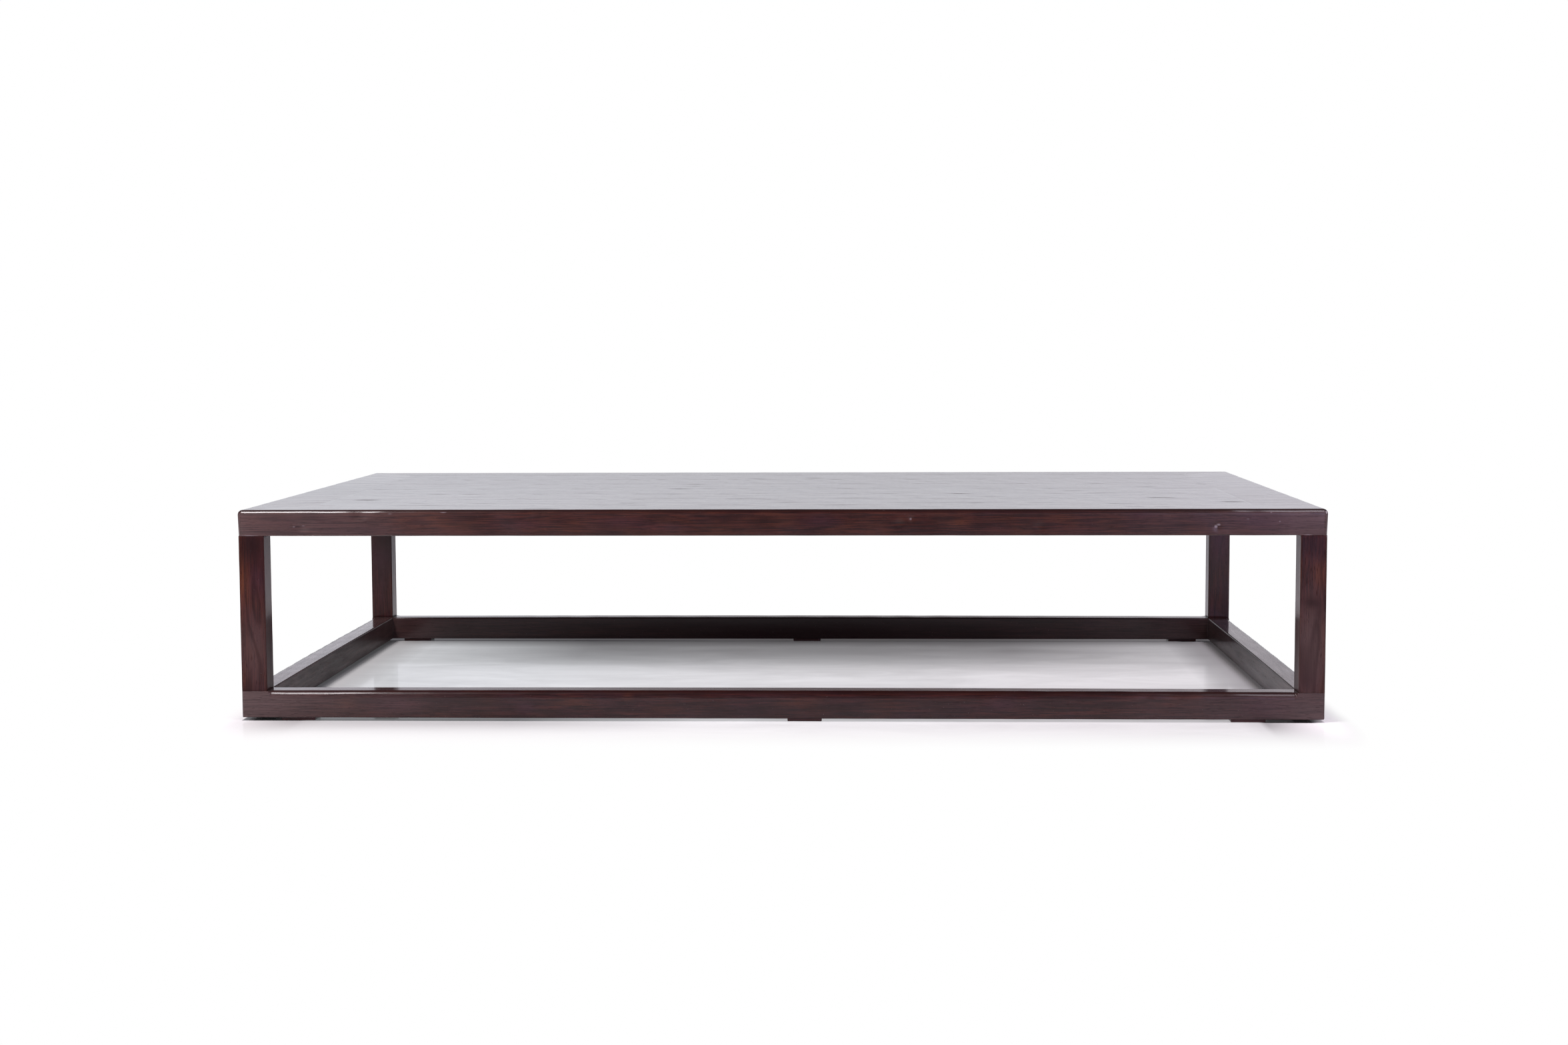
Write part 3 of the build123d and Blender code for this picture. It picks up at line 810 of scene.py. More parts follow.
def straight_bar(name, lay, size, radii, ease, material, seed, marks=(), worn=None, bare_front=False):
    """The skin of a straight bar: one rounded section, drawn in a little at both ends.

    The section is smaller by the ease at the first and last station, which takes the edge off
    the ends and leaves a fine groove where the bar meets its neighbour. The finish is worn round
    the corner of the section that is named, as exp(-distance / reach). A bar with a bare front has
    a thinner coat there, and hardly any on its other faces near the floor.
    """
    grid = bpy.context.scene.kang_shape.grid
    length, width, height = size
    inner = run_stations(ease, length - ease, grid, fine_places(lay, marks))
    places = np.concatenate([[0.0], inner, [length]])
    rings = np.tile(np.maximum(radii, SHARP_RADIUS), (len(places), 1))
    ring = rounded_section(width, height, rings, grid, lines_for(lay, marks))
    along = np.broadcast_to(places[:, None], ring.across.shape)
    waves = planing_waves(along, ring, seed)
    waves = waves * smooth_step(np.minimum(along, length - along) / WAVE_FADE)
    waves[[0, -1]] -= ease
    across = ring.across + ring.normal_across * waves
    points = np.stack([along, across, ring.up + ring.normal_up * waves], axis=-1)
    mark = mark_strength(points, lay, marks) * (ring.normal_up > FACING)
    edge = ring.edge
    if worn is not None:
        away = points[..., 1:] - SECTION_CORNERS[worn] * (width, height)
        edge = np.maximum(edge, np.exp(-np.linalg.norm(away, axis=-1) / WEAR_REACH))
    bare = 0.0
    if bare_front:
        forwards = ring.normal_across * lay.across[1] + ring.normal_up * lay.up[1] < -FACING
        low_down = smooth_step((BARE_FEET_TOP - lay.to_world(points)[..., 2]) / BARE_FEET_FADE)
        bare = np.where(forwards, BARE_FRONT, BARE_FEET * low_down)
    box = np.sort(lay.to_world(np.array([np.zeros(3), size])), axis=0)
    shares = patch_shares(points, lay, inside(PATCHES, *box))
    traits = Traits(edge, mark, bare, shares[..., PAINTED_LIGHT], shares[..., :PAINTED_LIGHT])
    return make_skin(name, lay, points, traits, material, eased=True)


# --- Node sheets ----------------------------------------------------------------------------------

COLUMN, ROW = 200.0, 220.0  # the distances between nodes


class NodeSheet:
    """Adds nodes to a tree and joins them, each one in the column after those that feed it."""

    def __init__(self, tree):
        self.tree = tree
        self.filled = {}
        tree.nodes.clear()

    def add(self, kind, values=None, **settings):
        """A node whose inputs take constants, or links where the value is another node's socket."""
        node = self.tree.nodes.new(kind)
        for name, value in settings.items():
            setattr(node, name, value)
        column = 0
        for socket, value in (values or {}).items():
            if isinstance(value, bpy.types.NodeSocket):
                self.tree.links.new(value, node.inputs[socket])
                column = max(column, round(value.node.location.x / COLUMN) + 1)
            else:
                node.inputs[socket].default_value = value
        row = self.filled.get(column, 0)
        self.filled[column] = row + 1
        node.location = (column * COLUMN, -row * ROW)
        return node

    def group(self, name, build, values):
        """The outputs of a node group, which is built the first time that it is asked for."""
        tree = bpy.data.node_groups.get(name) or build(name)
        return self.add("ShaderNodeGroup", values, node_tree=tree).outputs

    def math(self, operation, *values):
        """The result of an operation on one or two values."""
        return self.add("ShaderNodeMath", dict(enumerate(values)), operation=operation).outputs[0]

    def chain(self, operation, first, *others):
        """The result of an operation that takes in one value after another."""
        for value in others:
            first = self.math(operation, first, value)
        return first

    def total(self, *values):
        """The sum of the values."""
        return self.chain("ADD", *values)

    def product(self, *values):
        """The product of the values."""
        return self.chain("MULTIPLY", *values)

    def most(self, *values):
        """The greatest of the values."""
        return self.chain("MAXIMUM", *values)

    def less(self, value, taken):
        """A value less what is taken from it."""
        return self.math("SUBTRACT", value, taken)

    def magnitude(self, value):
        """A value without its sign."""
        return self.math("ABSOLUTE", value)

    def vector(self, operation, *values):
        """The result of an operation on vectors: a vector, or a value if it is a length."""
        node = self.add("ShaderNodeVectorMath", dict(enumerate(values)), operation=operation)
        return node.outputs["Value" if operation == "LENGTH" else "Vector"]

    def split(self, vector):
        """The three values of a vector."""
        return tuple(self.add("ShaderNodeSeparateXYZ", {0: vector}).outputs)

    def stretch(self, value, low, high, to_low=0.0, to_high=1.0, course="LINEAR"):
        """A value moved from one range to another, and kept inside it."""
        inputs = {"Value": value, "From Min": low, "From Max": high, "To Min": to_low, "To Max": to_high}
        return self.add("ShaderNodeMapRange", inputs, interpolation_type=course).outputs[0]

    def ramp(self, value, stops):
        """A colour read off (value, colour) stops, whose values lie between -1 and 1."""
        node = self.add("ShaderNodeValToRGB", {"Fac": self.stretch(value, -1.0, 1.0)})
        elements = node.color_ramp.elements
        node.color_ramp.interpolation = "EASE"
        for _ in stops[2:]:
            elements.new(1.0)
        for element, (place, colour) in zip(elements, stops):
            element.position = (place + 1.0) / 2.0
            element.color = (*colour, 1.0)
        return node.outputs["Color"]

    def mix(self, share, first, second):
        """A mix of two values."""
        return self.add("ShaderNodeMix", {0: share, 2: first, 3: second}).outputs[0]

    def blend(self, share, first, second):
        """A mix of two colours."""
        first, second = (
            colour if isinstance(colour, bpy.types.NodeSocket) else (*colour, 1.0)
            for colour in (first, second)
        )
        return self.add("ShaderNodeMix", {0: share, 6: first, 7: second}, data_type="RGBA").outputs[2]

    def noise(self, vector, pattern, output="Fac"):
        """Noise on a vector that is multiplied first, so that it can run along the grain."""
        stretched = self.vector("MULTIPLY", vector, (pattern.along, pattern.across, pattern.across))
        values = {
            "Vector": stretched,
            "Scale": 1.0,
            "Detail": pattern.detail,
            "Roughness": pattern.roughness,
            "Distortion": pattern.distortion,
        }
        return self.add("ShaderNodeTexNoise", values).outputs[output]

    def attribute(self, name, output="Fac"):
        """What the skin says of its points under a name."""
        return self.add("ShaderNodeAttribute", attribute_name=name).outputs[output]

    def object_place(self):
        """The place on the piece, in the frame's axes."""
        return self.add("ShaderNodeTexCoord").outputs["Object"]

    def bump(self, height, strength, distance):
        """A normal that follows a height."""
        values = {"Height": height, "Strength": strength, "Distance": distance}
        return self.add("ShaderNodeBump", values).outputs[0]

    def surface(self, values):
        """Ends a material with a Principled BSDF."""
        shader = self.add("ShaderNodeBsdfPrincipled", values)
        self.add("ShaderNodeOutputMaterial", {"Surface": shader.outputs[0]})


class Pattern(NamedTuple):
    """Noise: its repeats in a metre along the grain and across it, and the noise node's values."""

    along: float
    across: float
    detail: float = 3.0
    roughness: float = 0.55
    distortion: float = 0.0


def new_group(name, inputs, outputs):
    """A node group that takes a vector and named values and puts out named values.

    Returns its tree, its sheet and what comes in: the vector first and then the values.
    """
    tree = bpy.data.node_groups.new(name, "ShaderNodeTree")
    tree.interface.new_socket("Vector", in_out="INPUT", socket_type="NodeSocketVector")
    for socket, default in inputs.items():
        made = tree.interface.new_socket(socket, in_out="INPUT", socket_type="NodeSocketFloat")
        made.default_value = default
    for socket in outputs:
        tree.interface.new_socket(socket, in_out="OUTPUT", socket_type="NodeSocketFloat")
    sheet = NodeSheet(tree)
    return tree, sheet, sheet.add("NodeGroupInput").outputs


# --- The figure of the wood and its lacquer -------------------------------------------------------

WANDER = Pattern(1.3, 5.0, 2.0)
WANDER_REACH = 20.0 * MM  # how far the grain wanders to either side
STREAKS = Pattern(7.0, 110.0, 4.0, 0.65)
BANDS = Pattern(0.9, 13.0, 2.0, 0.5)
PORES = Pattern(75.0, 900.0, 1.0, 0.5)
FIBRE = Pattern(14.0, 560.0, 3.0, 0.6)
STAINS = Pattern(13.0, 34.0, 3.0, 0.6)
CONTOURS = Pattern(4.0, 17.0, 1.0)
CONTOUR_ANGLE = 46.0  # in radians, from the lowest to the highest contour
SPECKS = Pattern(420.0, 420.0, 1.0, 0.5)
# What the figure puts out, and the part of each noise that is stretched to run from 0 to 1
FIGURE = {
    "Streaks": (0.34, 0.68),
    "Bands": (0.35, 0.65),
    "Pores": (0.60, 0.72),
    "Fibre": (0.35, 0.65),
    "Warm": (0.46, 0.64),
    "Plum": (0.44, 0.62),
    "Arcs": (0.35, 1.0),
    "Specks": (0.76, 0.82),
}


def build_figure(name):
    """The figure of the wood, with the grain along the vector's X.

    Streaks are noise drawn out along the grain, bands are the same much wider, and pores are short
    fine dashes. Warm and plum patches are slow noise, arcs are the sine of a multiple of slow
    noise, and specks are the peaks of fine even noise.
    """
    tree, sheet, (vector, *_) = new_group(name, {}, FIGURE)
    wander = sheet.stretch(sheet.noise(vector, WANDER), 0.0, 1.0, -WANDER_REACH, WANDER_REACH)
    bend = sheet.add("ShaderNodeCombineXYZ", {"Y": wander}).outputs[0]
    bent = sheet.vector("ADD", vector, bend)
    warm, plum, _ = sheet.split(sheet.noise(bent, STAINS, "Color"))
    parts = {
        "Streaks": sheet.noise(bent, STREAKS),
        "Bands": sheet.noise(bent, BANDS),
        "Pores": sheet.noise(bent, PORES),
        "Fibre": sheet.noise(bent, FIBRE),
        "Warm": warm,
        "Plum": plum,
        "Arcs": sheet.math("SINE", sheet.product(sheet.noise(bent, CONTOURS), CONTOUR_ANGLE)),
        "Specks": sheet.noise(vector, SPECKS),
    }
    sheet.add("NodeGroupOutput", {part: sheet.stretch(parts[part], *FIGURE[part]) for part in FIGURE})
    return tree


CLOUD_SLANT = (0.0, math.radians(-32.0), 0.3)
CLOUDS = Pattern(9.0, 26.0, 4.0, 0.62, 0.4)
CLOUD_RANGE = (0.42, 0.72)
RUBBING = Pattern(14.0, 60.0, 3.0, 0.6)
RUB_RANGE = (0.42, 0.66)
# How much of the coat is lost in dark streaks, in pores, in marks and under clouds
STREAK_LOSS, PORE_LOSS, MARK_LOSS, CLOUD_LOSS = 0.16, 0.25, 0.7, 0.12
MOST_LOSS = 0.8
WOOD_ROUGHNESS = (0.34, 0.6)  # where nothing is lost, and where the most is
LACQUER_INPUTS = {
    "Streaks": 0.0,
    "Pores": 0.0,
    "Mark": 0.0,
    "Edge": 0.0,
    "Fullness": 1.0,
    "Cloudiness": 0.5,
}


def build_lacquer(name):
    """The lacquer's state: how full its coat is, how clouded, and the roughness under it.

    Clouds are soft slanting patches. The coat is thin on pores, on marks and where the clouds are,
    and rubbed on the edges.
    """
    outputs = ("Coat", "Clouds", "Rub", "Roughness")
    tree, sheet, sources = new_group(name, LACQUER_INPUTS, outputs)
    vector, streaks, pores, mark, edge, fullness, cloudiness, *_ = sources
    slant = sheet.add("ShaderNodeMapping", {"Vector": vector, "Rotation": CLOUD_SLANT}).outputs[0]
    clouds = sheet.product(sheet.stretch(sheet.noise(slant, CLOUDS), *CLOUD_RANGE), cloudiness)
    rub = sheet.product(sheet.stretch(sheet.noise(vector, RUBBING), *RUB_RANGE), edge)
    loss = sheet.total(
        sheet.stretch(streaks, 0.0, 1.0, STREAK_LOSS, 0.0),
        sheet.product(pores, PORE_LOSS),
        sheet.product(mark, MARK_LOSS),
        sheet.product(clouds, CLOUD_LOSS),
    )
    coat = sheet.most(sheet.less(fullness, loss), 0.0)
    roughness = sheet.stretch(loss, 0.0, MOST_LOSS, *WOOD_ROUGHNESS)
    sheet.add("NodeGroupOutput", dict(zip(outputs, (coat, clouds, rub, roughness))))
    return tree


# --- Materials ------------------------------------------------------------------------------------

GRAIN_TURNS = {
    "X": (0.0, 0.0, 0.0),
    "Y": (0.0, 0.0, -math.pi / 2),
    "Z": (0.0, math.pi / 2, 0.0),
}
GRAIN_SPREAD = 20.0  # how far a piece's wood may be moved through the noise on each axis, in metres


def new_material(name):
    """An empty node material and its sheet."""
    material = bpy.data.materials.new(name)
    material.use_nodes = True
    return material, NodeSheet(material.node_tree)


def along_grain(sheet, place, grain, seed):
    """Places with the grain turned to X, moved to a part of the noise of their own."""
    shift = tuple(np.random.default_rng(seed).uniform(-GRAIN_SPREAD, GRAIN_SPREAD, 3))
    values = {"Vector": place, "Location": shift, "Rotation": GRAIN_TURNS[grain]}
    return sheet.add("ShaderNodeMapping", values).outputs[0]


def wood_figure(sheet, vector):
    """Streaks, bands, pores, fibre, warm and plum patches, arcs and specks."""
    return sheet.group("Wood figure", build_figure, {"Vector": vector})


class Look(NamedTuple):
    """How strongly a finish shows each trait, and how full its lacquer is."""

    streaks: float
    warm: float
    plum: float
    clouds: float
    rim_shade: float = 0.0
    arcs: float = 0.0
    furrows: float = 0.1
    fullness: float = 1.0
    chips: tuple = ()


TOP_RAIL_LOOK = Look(streaks=0.75, warm=0.5, plum=0.1, clouds=0.2, rim_shade=0.75, furrows=0.5)
BASE_RAIL_LOOK = Look(streaks=1.0, warm=0.15, plum=0.15, clouds=0.3, rim_shade=0.55, furrows=0.4)
BOARD_LOOK = Look(streaks=0.8, warm=0.3, plum=0.3, clouds=0.3)
END_RAIL_LOOK = Look(streaks=0.7, warm=0.3, plum=0.3, clouds=0.3, rim_shade=0.9)
LEG_LOOK = Look(streaks=0.6, warm=0.25, plum=0.2, clouds=0.2, arcs=0.4)
PAD_LOOK = Look(streaks=0.4, warm=0.2, plum=0.2, clouds=0.4, fullness=0.6)
# The most that shows of clouds, painted light, rubbed edges and specks
BLOOM_SHARE, PAINTED_LIGHT_SHARE, RUB_SHARE, SPECK_SHARE = 0.4, 0.8, 0.2, 0.3
PORE_DARKNESS = 0.5
RAGGEDNESS = Pattern(45.0, 260.0, 2.0)
RAGGED_MARKS = (0.35, 0.6, 0.3, 1.0)  # the noise's range, and the share of a mark that shows there
# How the fibre breaks up the plain wood and the warm stain, and where it leaves dark furrows
WOOD_FIBRE = (0.1, 0.9, 0.0, 1.5)
WARM_FIBRE = (0.0, 1.0, 0.4, 1.1)
FURROWS = (0.0, 0.7, 1.0, 0.0)
FIBRE_RELIEF = 0.3
LACQUER_BUMP = (0.12, 0.15 * MM)  # strength and distance
LACQUER_IOR = 1.37
WOOD_SHINE = 0.05


def chip_and_glint_share(sheet, place, chips):
    """How much of a bright spot, chipped lacquer and painted glint, is at a place: the strongest of
    strength * (1 - distance / reach).
    """
    shares = []
    for x, z, along, up, strength in chips:
        away = sheet.vector("SUBTRACT", place, (x * MM, -HALF_DEPTH, z * MM))
        away = sheet.vector("DIVIDE", away, (along * MM, PATCH_DEPTH, up * MM))
        shares.append(sheet.stretch(sheet.vector("LENGTH", away), 0.0, 1.0, strength, 0.0))
    return sheet.most(*shares)


def lacquered_wood(name, grain, seed, look):
    """Dark stained wood under a hand-rubbed lacquer, with its grain along X, Y or Z.

    The wood runs from its dark streaks to its own colour, and then one mask after another lays a
    further colour over it.
    """
    finish = bpy.context.scene.kang_finish
    material, sheet = new_material(name)
    place = sheet.object_place()
    vector = along_grain(sheet, place, grain, seed)
    edge, mark, bare, haze = (sheet.attribute(trait) for trait in TRAIT_NAMES)
    # the stain's dark share also holds painted shade on the back rail and the back left leg
    stain = sheet.split(sheet.attribute("stain", "Vector"))
    streaks, bands, pores, fibre, warm, plum, arcs, specks = wood_figure(sheet, vector)
    streaks = sheet.stretch(streaks, 0.0, 1.0, 1.0 - look.streaks, 1.0)
    mark = sheet.product(mark, sheet.stretch(sheet.noise(vector, RAGGEDNESS), *RAGGED_MARKS))
    lacquer = {
        "Vector": vector,
        "Streaks": streaks,
        "Pores": pores,
        "Mark": mark,
        "Edge": edge,
        "Fullness": sheet.less(look.fullness * finish.lacquer_strength, bare),
        "Cloudiness": look.clouds,
    }
    coat, clouds, rub, roughness = sheet.group("Hand lacquer", build_lacquer, lacquer)

    warm = sheet.most(sheet.product(sheet.total(warm, bands), look.warm / 2.0), stain[WARM])
    # a dark rim of painted shade on the upper part of the rails' rounded edges
    pores_and_rims = (sheet.product(pores, PORE_DARKNESS), mark, sheet.product(edge, look.rim_shade))
    dark = sheet.most(sheet.product(arcs, look.arcs), *pores_and_rims, stain[DARK_STAIN_AND_SHADE])
    layers = [
        (sheet.product(warm, sheet.stretch(fibre, *WARM_FIBRE)), finish.warm_wood),
        (sheet.most(sheet.product(plum, look.plum), stain[PLUM]), finish.plum_wood),
        (sheet.product(clouds, BLOOM_SHARE), finish.bloom),
        # painted light over the rails' ends and corners and the front legs' feet
        (sheet.product(haze, PAINTED_LIGHT_SHARE), finish.haze),
        (sheet.product(sheet.stretch(fibre, *FURROWS), look.furrows), finish.deep_wood),
        (sheet.product(rub, RUB_SHARE), finish.warm_wood),
        (dark, finish.deep_wood),
        (sheet.product(specks, SPECK_SHARE), finish.dust),
    ]
    # chipped lacquer and painted highlights on the top front rail's dents
    if look.chips:
        layers.append((chip_and_glint_share(sheet, place, look.chips), finish.chip))
    grain_share = sheet.product(streaks, sheet.stretch(fibre, *WOOD_FIBRE))
    colour = sheet.blend(grain_share, finish.deep_wood, finish.wood)
    for share, over in layers:
        colour = sheet.blend(share, colour, over)
    relief = sheet.less(sheet.product(fibre, FIBRE_RELIEF), pores)
    sheet.surface(
        {
            "Base Color": colour,
            "Roughness": roughness,
            "Specular IOR Level": WOOD_SHINE,
            "Coat Weight": coat,
            "Coat Roughness": finish.lacquer_roughness,
            "Coat IOR": LACQUER_IOR,
            "Normal": sheet.bump(relief, *LACQUER_BUMP),
        }
    )
    return material


PLAIN_ROUGHNESS = (0.5, 0.68)
PLAIN_BUMP = (0.3, 0.3 * MM)


def plain_wood(name, grain, seed):
    """Dry wood with an old stain, as on the battens and pegs."""
    finish = bpy.context.scene.kang_finish
    material, sheet = new_material(name)
    vector = along_grain(sheet, sheet.object_place(), grain, seed)
    streaks, bands, pores, fibre, *_ = wood_figure(sheet, vector)
    colour = sheet.blend(streaks, finish.wood, finish.raw_wood)
    sheet.surface(
        {
            "Base Color": sheet.blend(pores, colour, finish.deep_wood),
            "Roughness": sheet.stretch(bands, 0.0, 1.0, *PLAIN_ROUGHNESS),
            "Normal": sheet.bump(sheet.less(fibre, pores), *PLAIN_BUMP),
        }
    )
    return material


RUST_SPOTS = Pattern(700.0, 700.0, 4.0)
RUST_RANGE = (0.45, 0.62)
RUSTY_METAL = (1.0, 0.2)  # how metallic the iron is, clean and rusty
RUSTY_ROUGHNESS = (0.4, 0.8)


def nail_iron(name):
    """Dull iron with brown spots of rust."""
    finish = bpy.context.scene.kang_finish
    material, sheet = new_material(name)
    rust = sheet.stretch(sheet.noise(sheet.object_place(), RUST_SPOTS), *RUST_RANGE)
    sheet.surface(
        {
            "Base Color": sheet.blend(rust, finish.iron, finish.warm_wood),
            "Metallic": sheet.stretch(rust, 0.0, 1.0, *RUSTY_METAL),
            "Roughness": sheet.stretch(rust, 0.0, 1.0, *RUSTY_ROUGHNESS),
        }
    )
    return material


# --- Operators ------------------------------------------------------------------------------------

BACK_LOSS = 0.14  # how much thinner the lacquer is at the back of the top than at the front
BACK_FADE = 0.5  # how much weaker the streaks of the last board are than those of the first
BACKNESS = {"front": 0.0, "left": 0.5, "right": 0.5, "back": 1.0}
# How full the lacquer of each leg is, in the order of a section's corners
LEG_FULLNESS = {"front_left": 0.6, "back_left": 0.57, "back_right": 0.92, "front_right": 0.66}
PAD_EDGES = np.array([1.0, 0.3, 0.3, 1.0])  # how round the lower and upper edges are, as shares
TOP_SEED, BASE_SEED, BOARD_SEED, LEG_SEED, PAD_SEED, BATTEN_SEED, PEG_SEED = 1, 11, 21, 31, 41, 51, 52


class KANG_OT_top_rails(bpy.types.Operator):
    """Make the four rails of the table top"""

    bl_idname = "kang_table.top_rails"
    bl_label = "Top rails"

    def execute(self, context):
        shape = context.scene.kang_shape
        corner, lean = shape.top_corner, shape.top_batter
        for seed, side in enumerate(INWARDS, TOP_SEED):
            node = f"top_{side}_rail"
            look, grain_seed = END_RAIL_LOOK, BOARD_SEED
            if side in LONG_SIDES:
                look, grain_seed = TOP_RAIL_LOOK, seed
            chips = CHIPS_AND_GLINTS if side == "front" else ()
            look = look._replace(fullness=1.0 - BACK_LOSS * BACKNESS[side], chips=chips)
            wood = lacquered_wood(f"Lacquered top {side} rail", "X", grain_seed, look)
            rail = (node, side, TOP_RAIL_WIDTH, corner, top_rail_edges)
            finish_piece(framed_rail(*rail, lean, 0.0, wood, seed), node)
        return {"FINISHED"}


class KANG_OT_base_rails(bpy.types.Operator):
    """Make the four rails of the base"""

    bl_idname = "kang_table.base_rails"
    bl_label = "Base rails"

    def execute(self, context):
        shape = context.scene.kang_shape
        corner, camber = shape.outer_corner, shape.base_camber
        for seed, side in enumerate(INWARDS, BASE_SEED):
            node = f"base_{side}_rail"
            grain = "X" if side in LONG_SIDES else "Y"
            wood = lacquered_wood(f"Lacquered base {side} rail", grain, seed, BASE_RAIL_LOOK)
            rail = (node, side, BASE_RAIL_WIDTH, corner, base_rail_edges)
            finish_piece(framed_rail(*rail, 0.0, camber, wood, seed), node)
        return {"FINISHED"}


class KANG_OT_boards(bpy.types.Operator):
    """Make the boards of the table top"""

    bl_idname = "kang_table.boards"
    bl_label = "Boards"

    def execute(self, context):
        edge = context.scene.kang_shape.seam_edge
        half_panel = HALF_LENGTH - TOP_RAIL_WIDTH
        depth = 2.0 * (HALF_DEPTH - TOP_RAIL_WIDTH)
        pitch = (depth - BOARD_SEAM) / len(BOARDS)
        size = (2.0 * (half_panel - BOARD_SEAM), pitch - BOARD_SEAM, BOARD_THICKNESS)
        underside = TOP_RAIL_HIGH[2] - BOARD_THICKNESS
        for index, node in enumerate(BOARDS):
            front = -depth / 2 + BOARD_SEAM + index * pitch
            lay = Lay(np.array([BOARD_SEAM - half_panel, front, underside]), X, Y, Z)
            backness = index / (len(BOARDS) - 1)
            fullness = 1.0 - BACK_LOSS * backness
            streaks = BOARD_LOOK.streaks * (1.0 - BACK_FADE * backness)
            look = BOARD_LOOK._replace(fullness=fullness, streaks=streaks)
            wood = lacquered_wood(f"Lacquered board {index + 1}", "X", BOARD_SEED, look)
            marks = marks_on(lay, (0.0, 0.0), size[:2])
            bar = (f"{node}_skin", lay, size, np.full(4, edge), edge, wood, BOARD_SEED + index)
            finish_piece(straight_bar(*bar, marks), node)
        return {"FINISHED"}


class KANG_OT_legs(bpy.types.Operator):
    """Make the four legs"""

    bl_idname = "kang_table.legs"
    bl_label = "Legs"

    def execute(self, context):
        shape = context.scene.kang_shape
        size = (TOP_RAIL_LOW[2] - BASE_RAIL_HIGH[2], LEG_SIZE, LEG_SIZE)
        for corner, (place, fullness) in enumerate(LEG_FULLNESS.items()):
            node, seed = f"leg_{place}", LEG_SEED + corner
            low, _ = node_box(node)
            lay = Lay(np.array([low[0], low[1], BASE_RAIL_HIGH[2]]), Z, X, Y)
            radii = np.full(4, shape.leg_edge)
            radii[corner] = shape.outer_corner
            look = LEG_LOOK._replace(fullness=fullness)
            wood = lacquered_wood(f"Lacquered {place} leg", "Z", seed, look)
            bar = (f"{node}_skin", lay, size, radii, shape.joint_ease, wood, seed)
            piece = straight_bar(*bar, worn=corner, bare_front=place.startswith("front"))
            finish_piece(piece, node)
        return {"FINISHED"}


class KANG_OT_floor_pads(bpy.types.Operator):
    """Make the floor pads"""

    bl_idname = "kang_table.floor_pads"
    bl_label = "Floor pads"

    def execute(self, context):
        edge = context.scene.kang_shape.pad_edge
        wood = lacquered_wood("Lacquered pads", "X", PAD_SEED, PAD_LOOK)
        for seed, node in enumerate(PADS, PAD_SEED):
            low, high = node_box(node)
            lay = Lay(low, X, Y, Z)
            bar = (f"{node}_skin", lay, high - low, edge * PAD_EDGES, edge, wood, seed)
            finish_piece(straight_bar(*bar), node)
        return {"FINISHED"}


class KANG_OT_fixings(bpy.types.Operator):
    """Finish the battens, pegs and nails"""

    bl_idname = "kang_table.fixings"
    bl_label = "Battens, pegs and nails"

    def execute(self, context):
        finishes = {
            "top_batten": plain_wood("Plain battens", "Y", BATTEN_SEED),
            "pegs": plain_wood("Plain pegs", "Z", PEG_SEED),
            "nails": nail_iron("Nail iron"),
        }
        for name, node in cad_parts.items():
            for part, material in finishes.items():
                if part in name:
                    node.data.materials.clear()
                    node.data.materials.append(material)
        return {"FINISHED"}


# --- The floor ------------------------------------------------------------------------------------

PAPER_LOW = (-6.0, -2.6)
PAPER_HIGH = (6.0, 12.0)
HALO = (0.055, 0.26)  # how far the table's shade reaches past it, to the sides and to front and back
HALO_LIMIT = 4.0  # how many times as far it is measured
EDGE_BLUR = 0.02  # the share of the halo in which the paper outside takes over from that under the table
SHEEN = 0.18
SHEEN_ROUGHNESS = 0.07
PAPER_ROUGHNESS = 0.6
FRONT_GLOW = 0.77  # painted light that the paper gives off under the table, for the light from the front
END_GLOW = 0.67  # and for the light that comes in at the two ends
END_START, END_STOP = 0.48, 0.8  # where that takes over, as shares of half the length
STEADINESS = (0.9, 0.6)  # how little it fades there towards the back, at the left and the right
STEADY_TURN = (-0.1, 0.1)  # from where to where the left turns into the right
BACK_GLOW = 0.23  # and what is left of it at the back
GLOW_START, GLOW_STOP = -0.08, 0.36  # from where to where it fades
END_SHADE = (0.10, 0.12)  # how far the shade of an end rail reaches in, and the light left beside it
BACK_SHADE = (0.1, 0.3)  # the same beside the back rail
UNDER_RAILS = (0.7, 0.0)  # how open the paper is to the light under the end and the long rails
RAIL_SHADE = (0.2, 0.7)  # the light that it has where it isn't open, at the left and in the rest
RAIL_TURN = (-0.45, -0.15)  # from where to where the one turns into the other
CORNER_START = (0.806, 0.818)  # from where to where the light falls off near a corner
CORNER_END = (0.895, 0.908)  # and from where to where it comes back
CORNER_LIGHT = 0.04  # what is left of it between them
RAIL_BLUR = 0.006
# Painted reflection: streaks in the paper's glow under the table
REFLECTION_STREAKS = Pattern(4.0, 11.0, 6.0, 0.68, 0.8)
REFLECTION_STREAK_GLOW = (0.3, 0.7, 0.88, 1.14)  # the noise's range, and the share of the light that shows there
FLOOR_TINTS = ((-0.6, (0.94, 0.97, 1.0)), (0.0, (0.97, 0.97, 1.0)), (0.6, (0.99, 0.965, 1.0)))
# How bright the paper beside the table is painted, as a share of the rest, from left to right: painted
# shade round its foot, lighter at the far right
NEAR_PAPER = ((-0.95, 0.85), (-0.82, 0.5), (0.8, 0.5), (0.92, 1.5))
BLACK, WHITE = (0.0, 0.0, 0.0), (1.0, 1.0, 1.0)


def past_table(sheet, x, y):
    """How far past the table the paper is, as a share of the halo's reach to that side."""
    away = []
    for place, half, halo in ((x, HALF_LENGTH, HALO[0]), (y, HALF_DEPTH, HALO[1])):
        farthest = half + HALO_LIMIT * halo
        away.append(sheet.stretch(sheet.magnitude(place), half, farthest, 0.0, HALO_LIMIT))
    offset = sheet.add("ShaderNodeCombineXYZ", {"X": away[0], "Y": away[1]})
    return sheet.vector("LENGTH", offset.outputs[0])


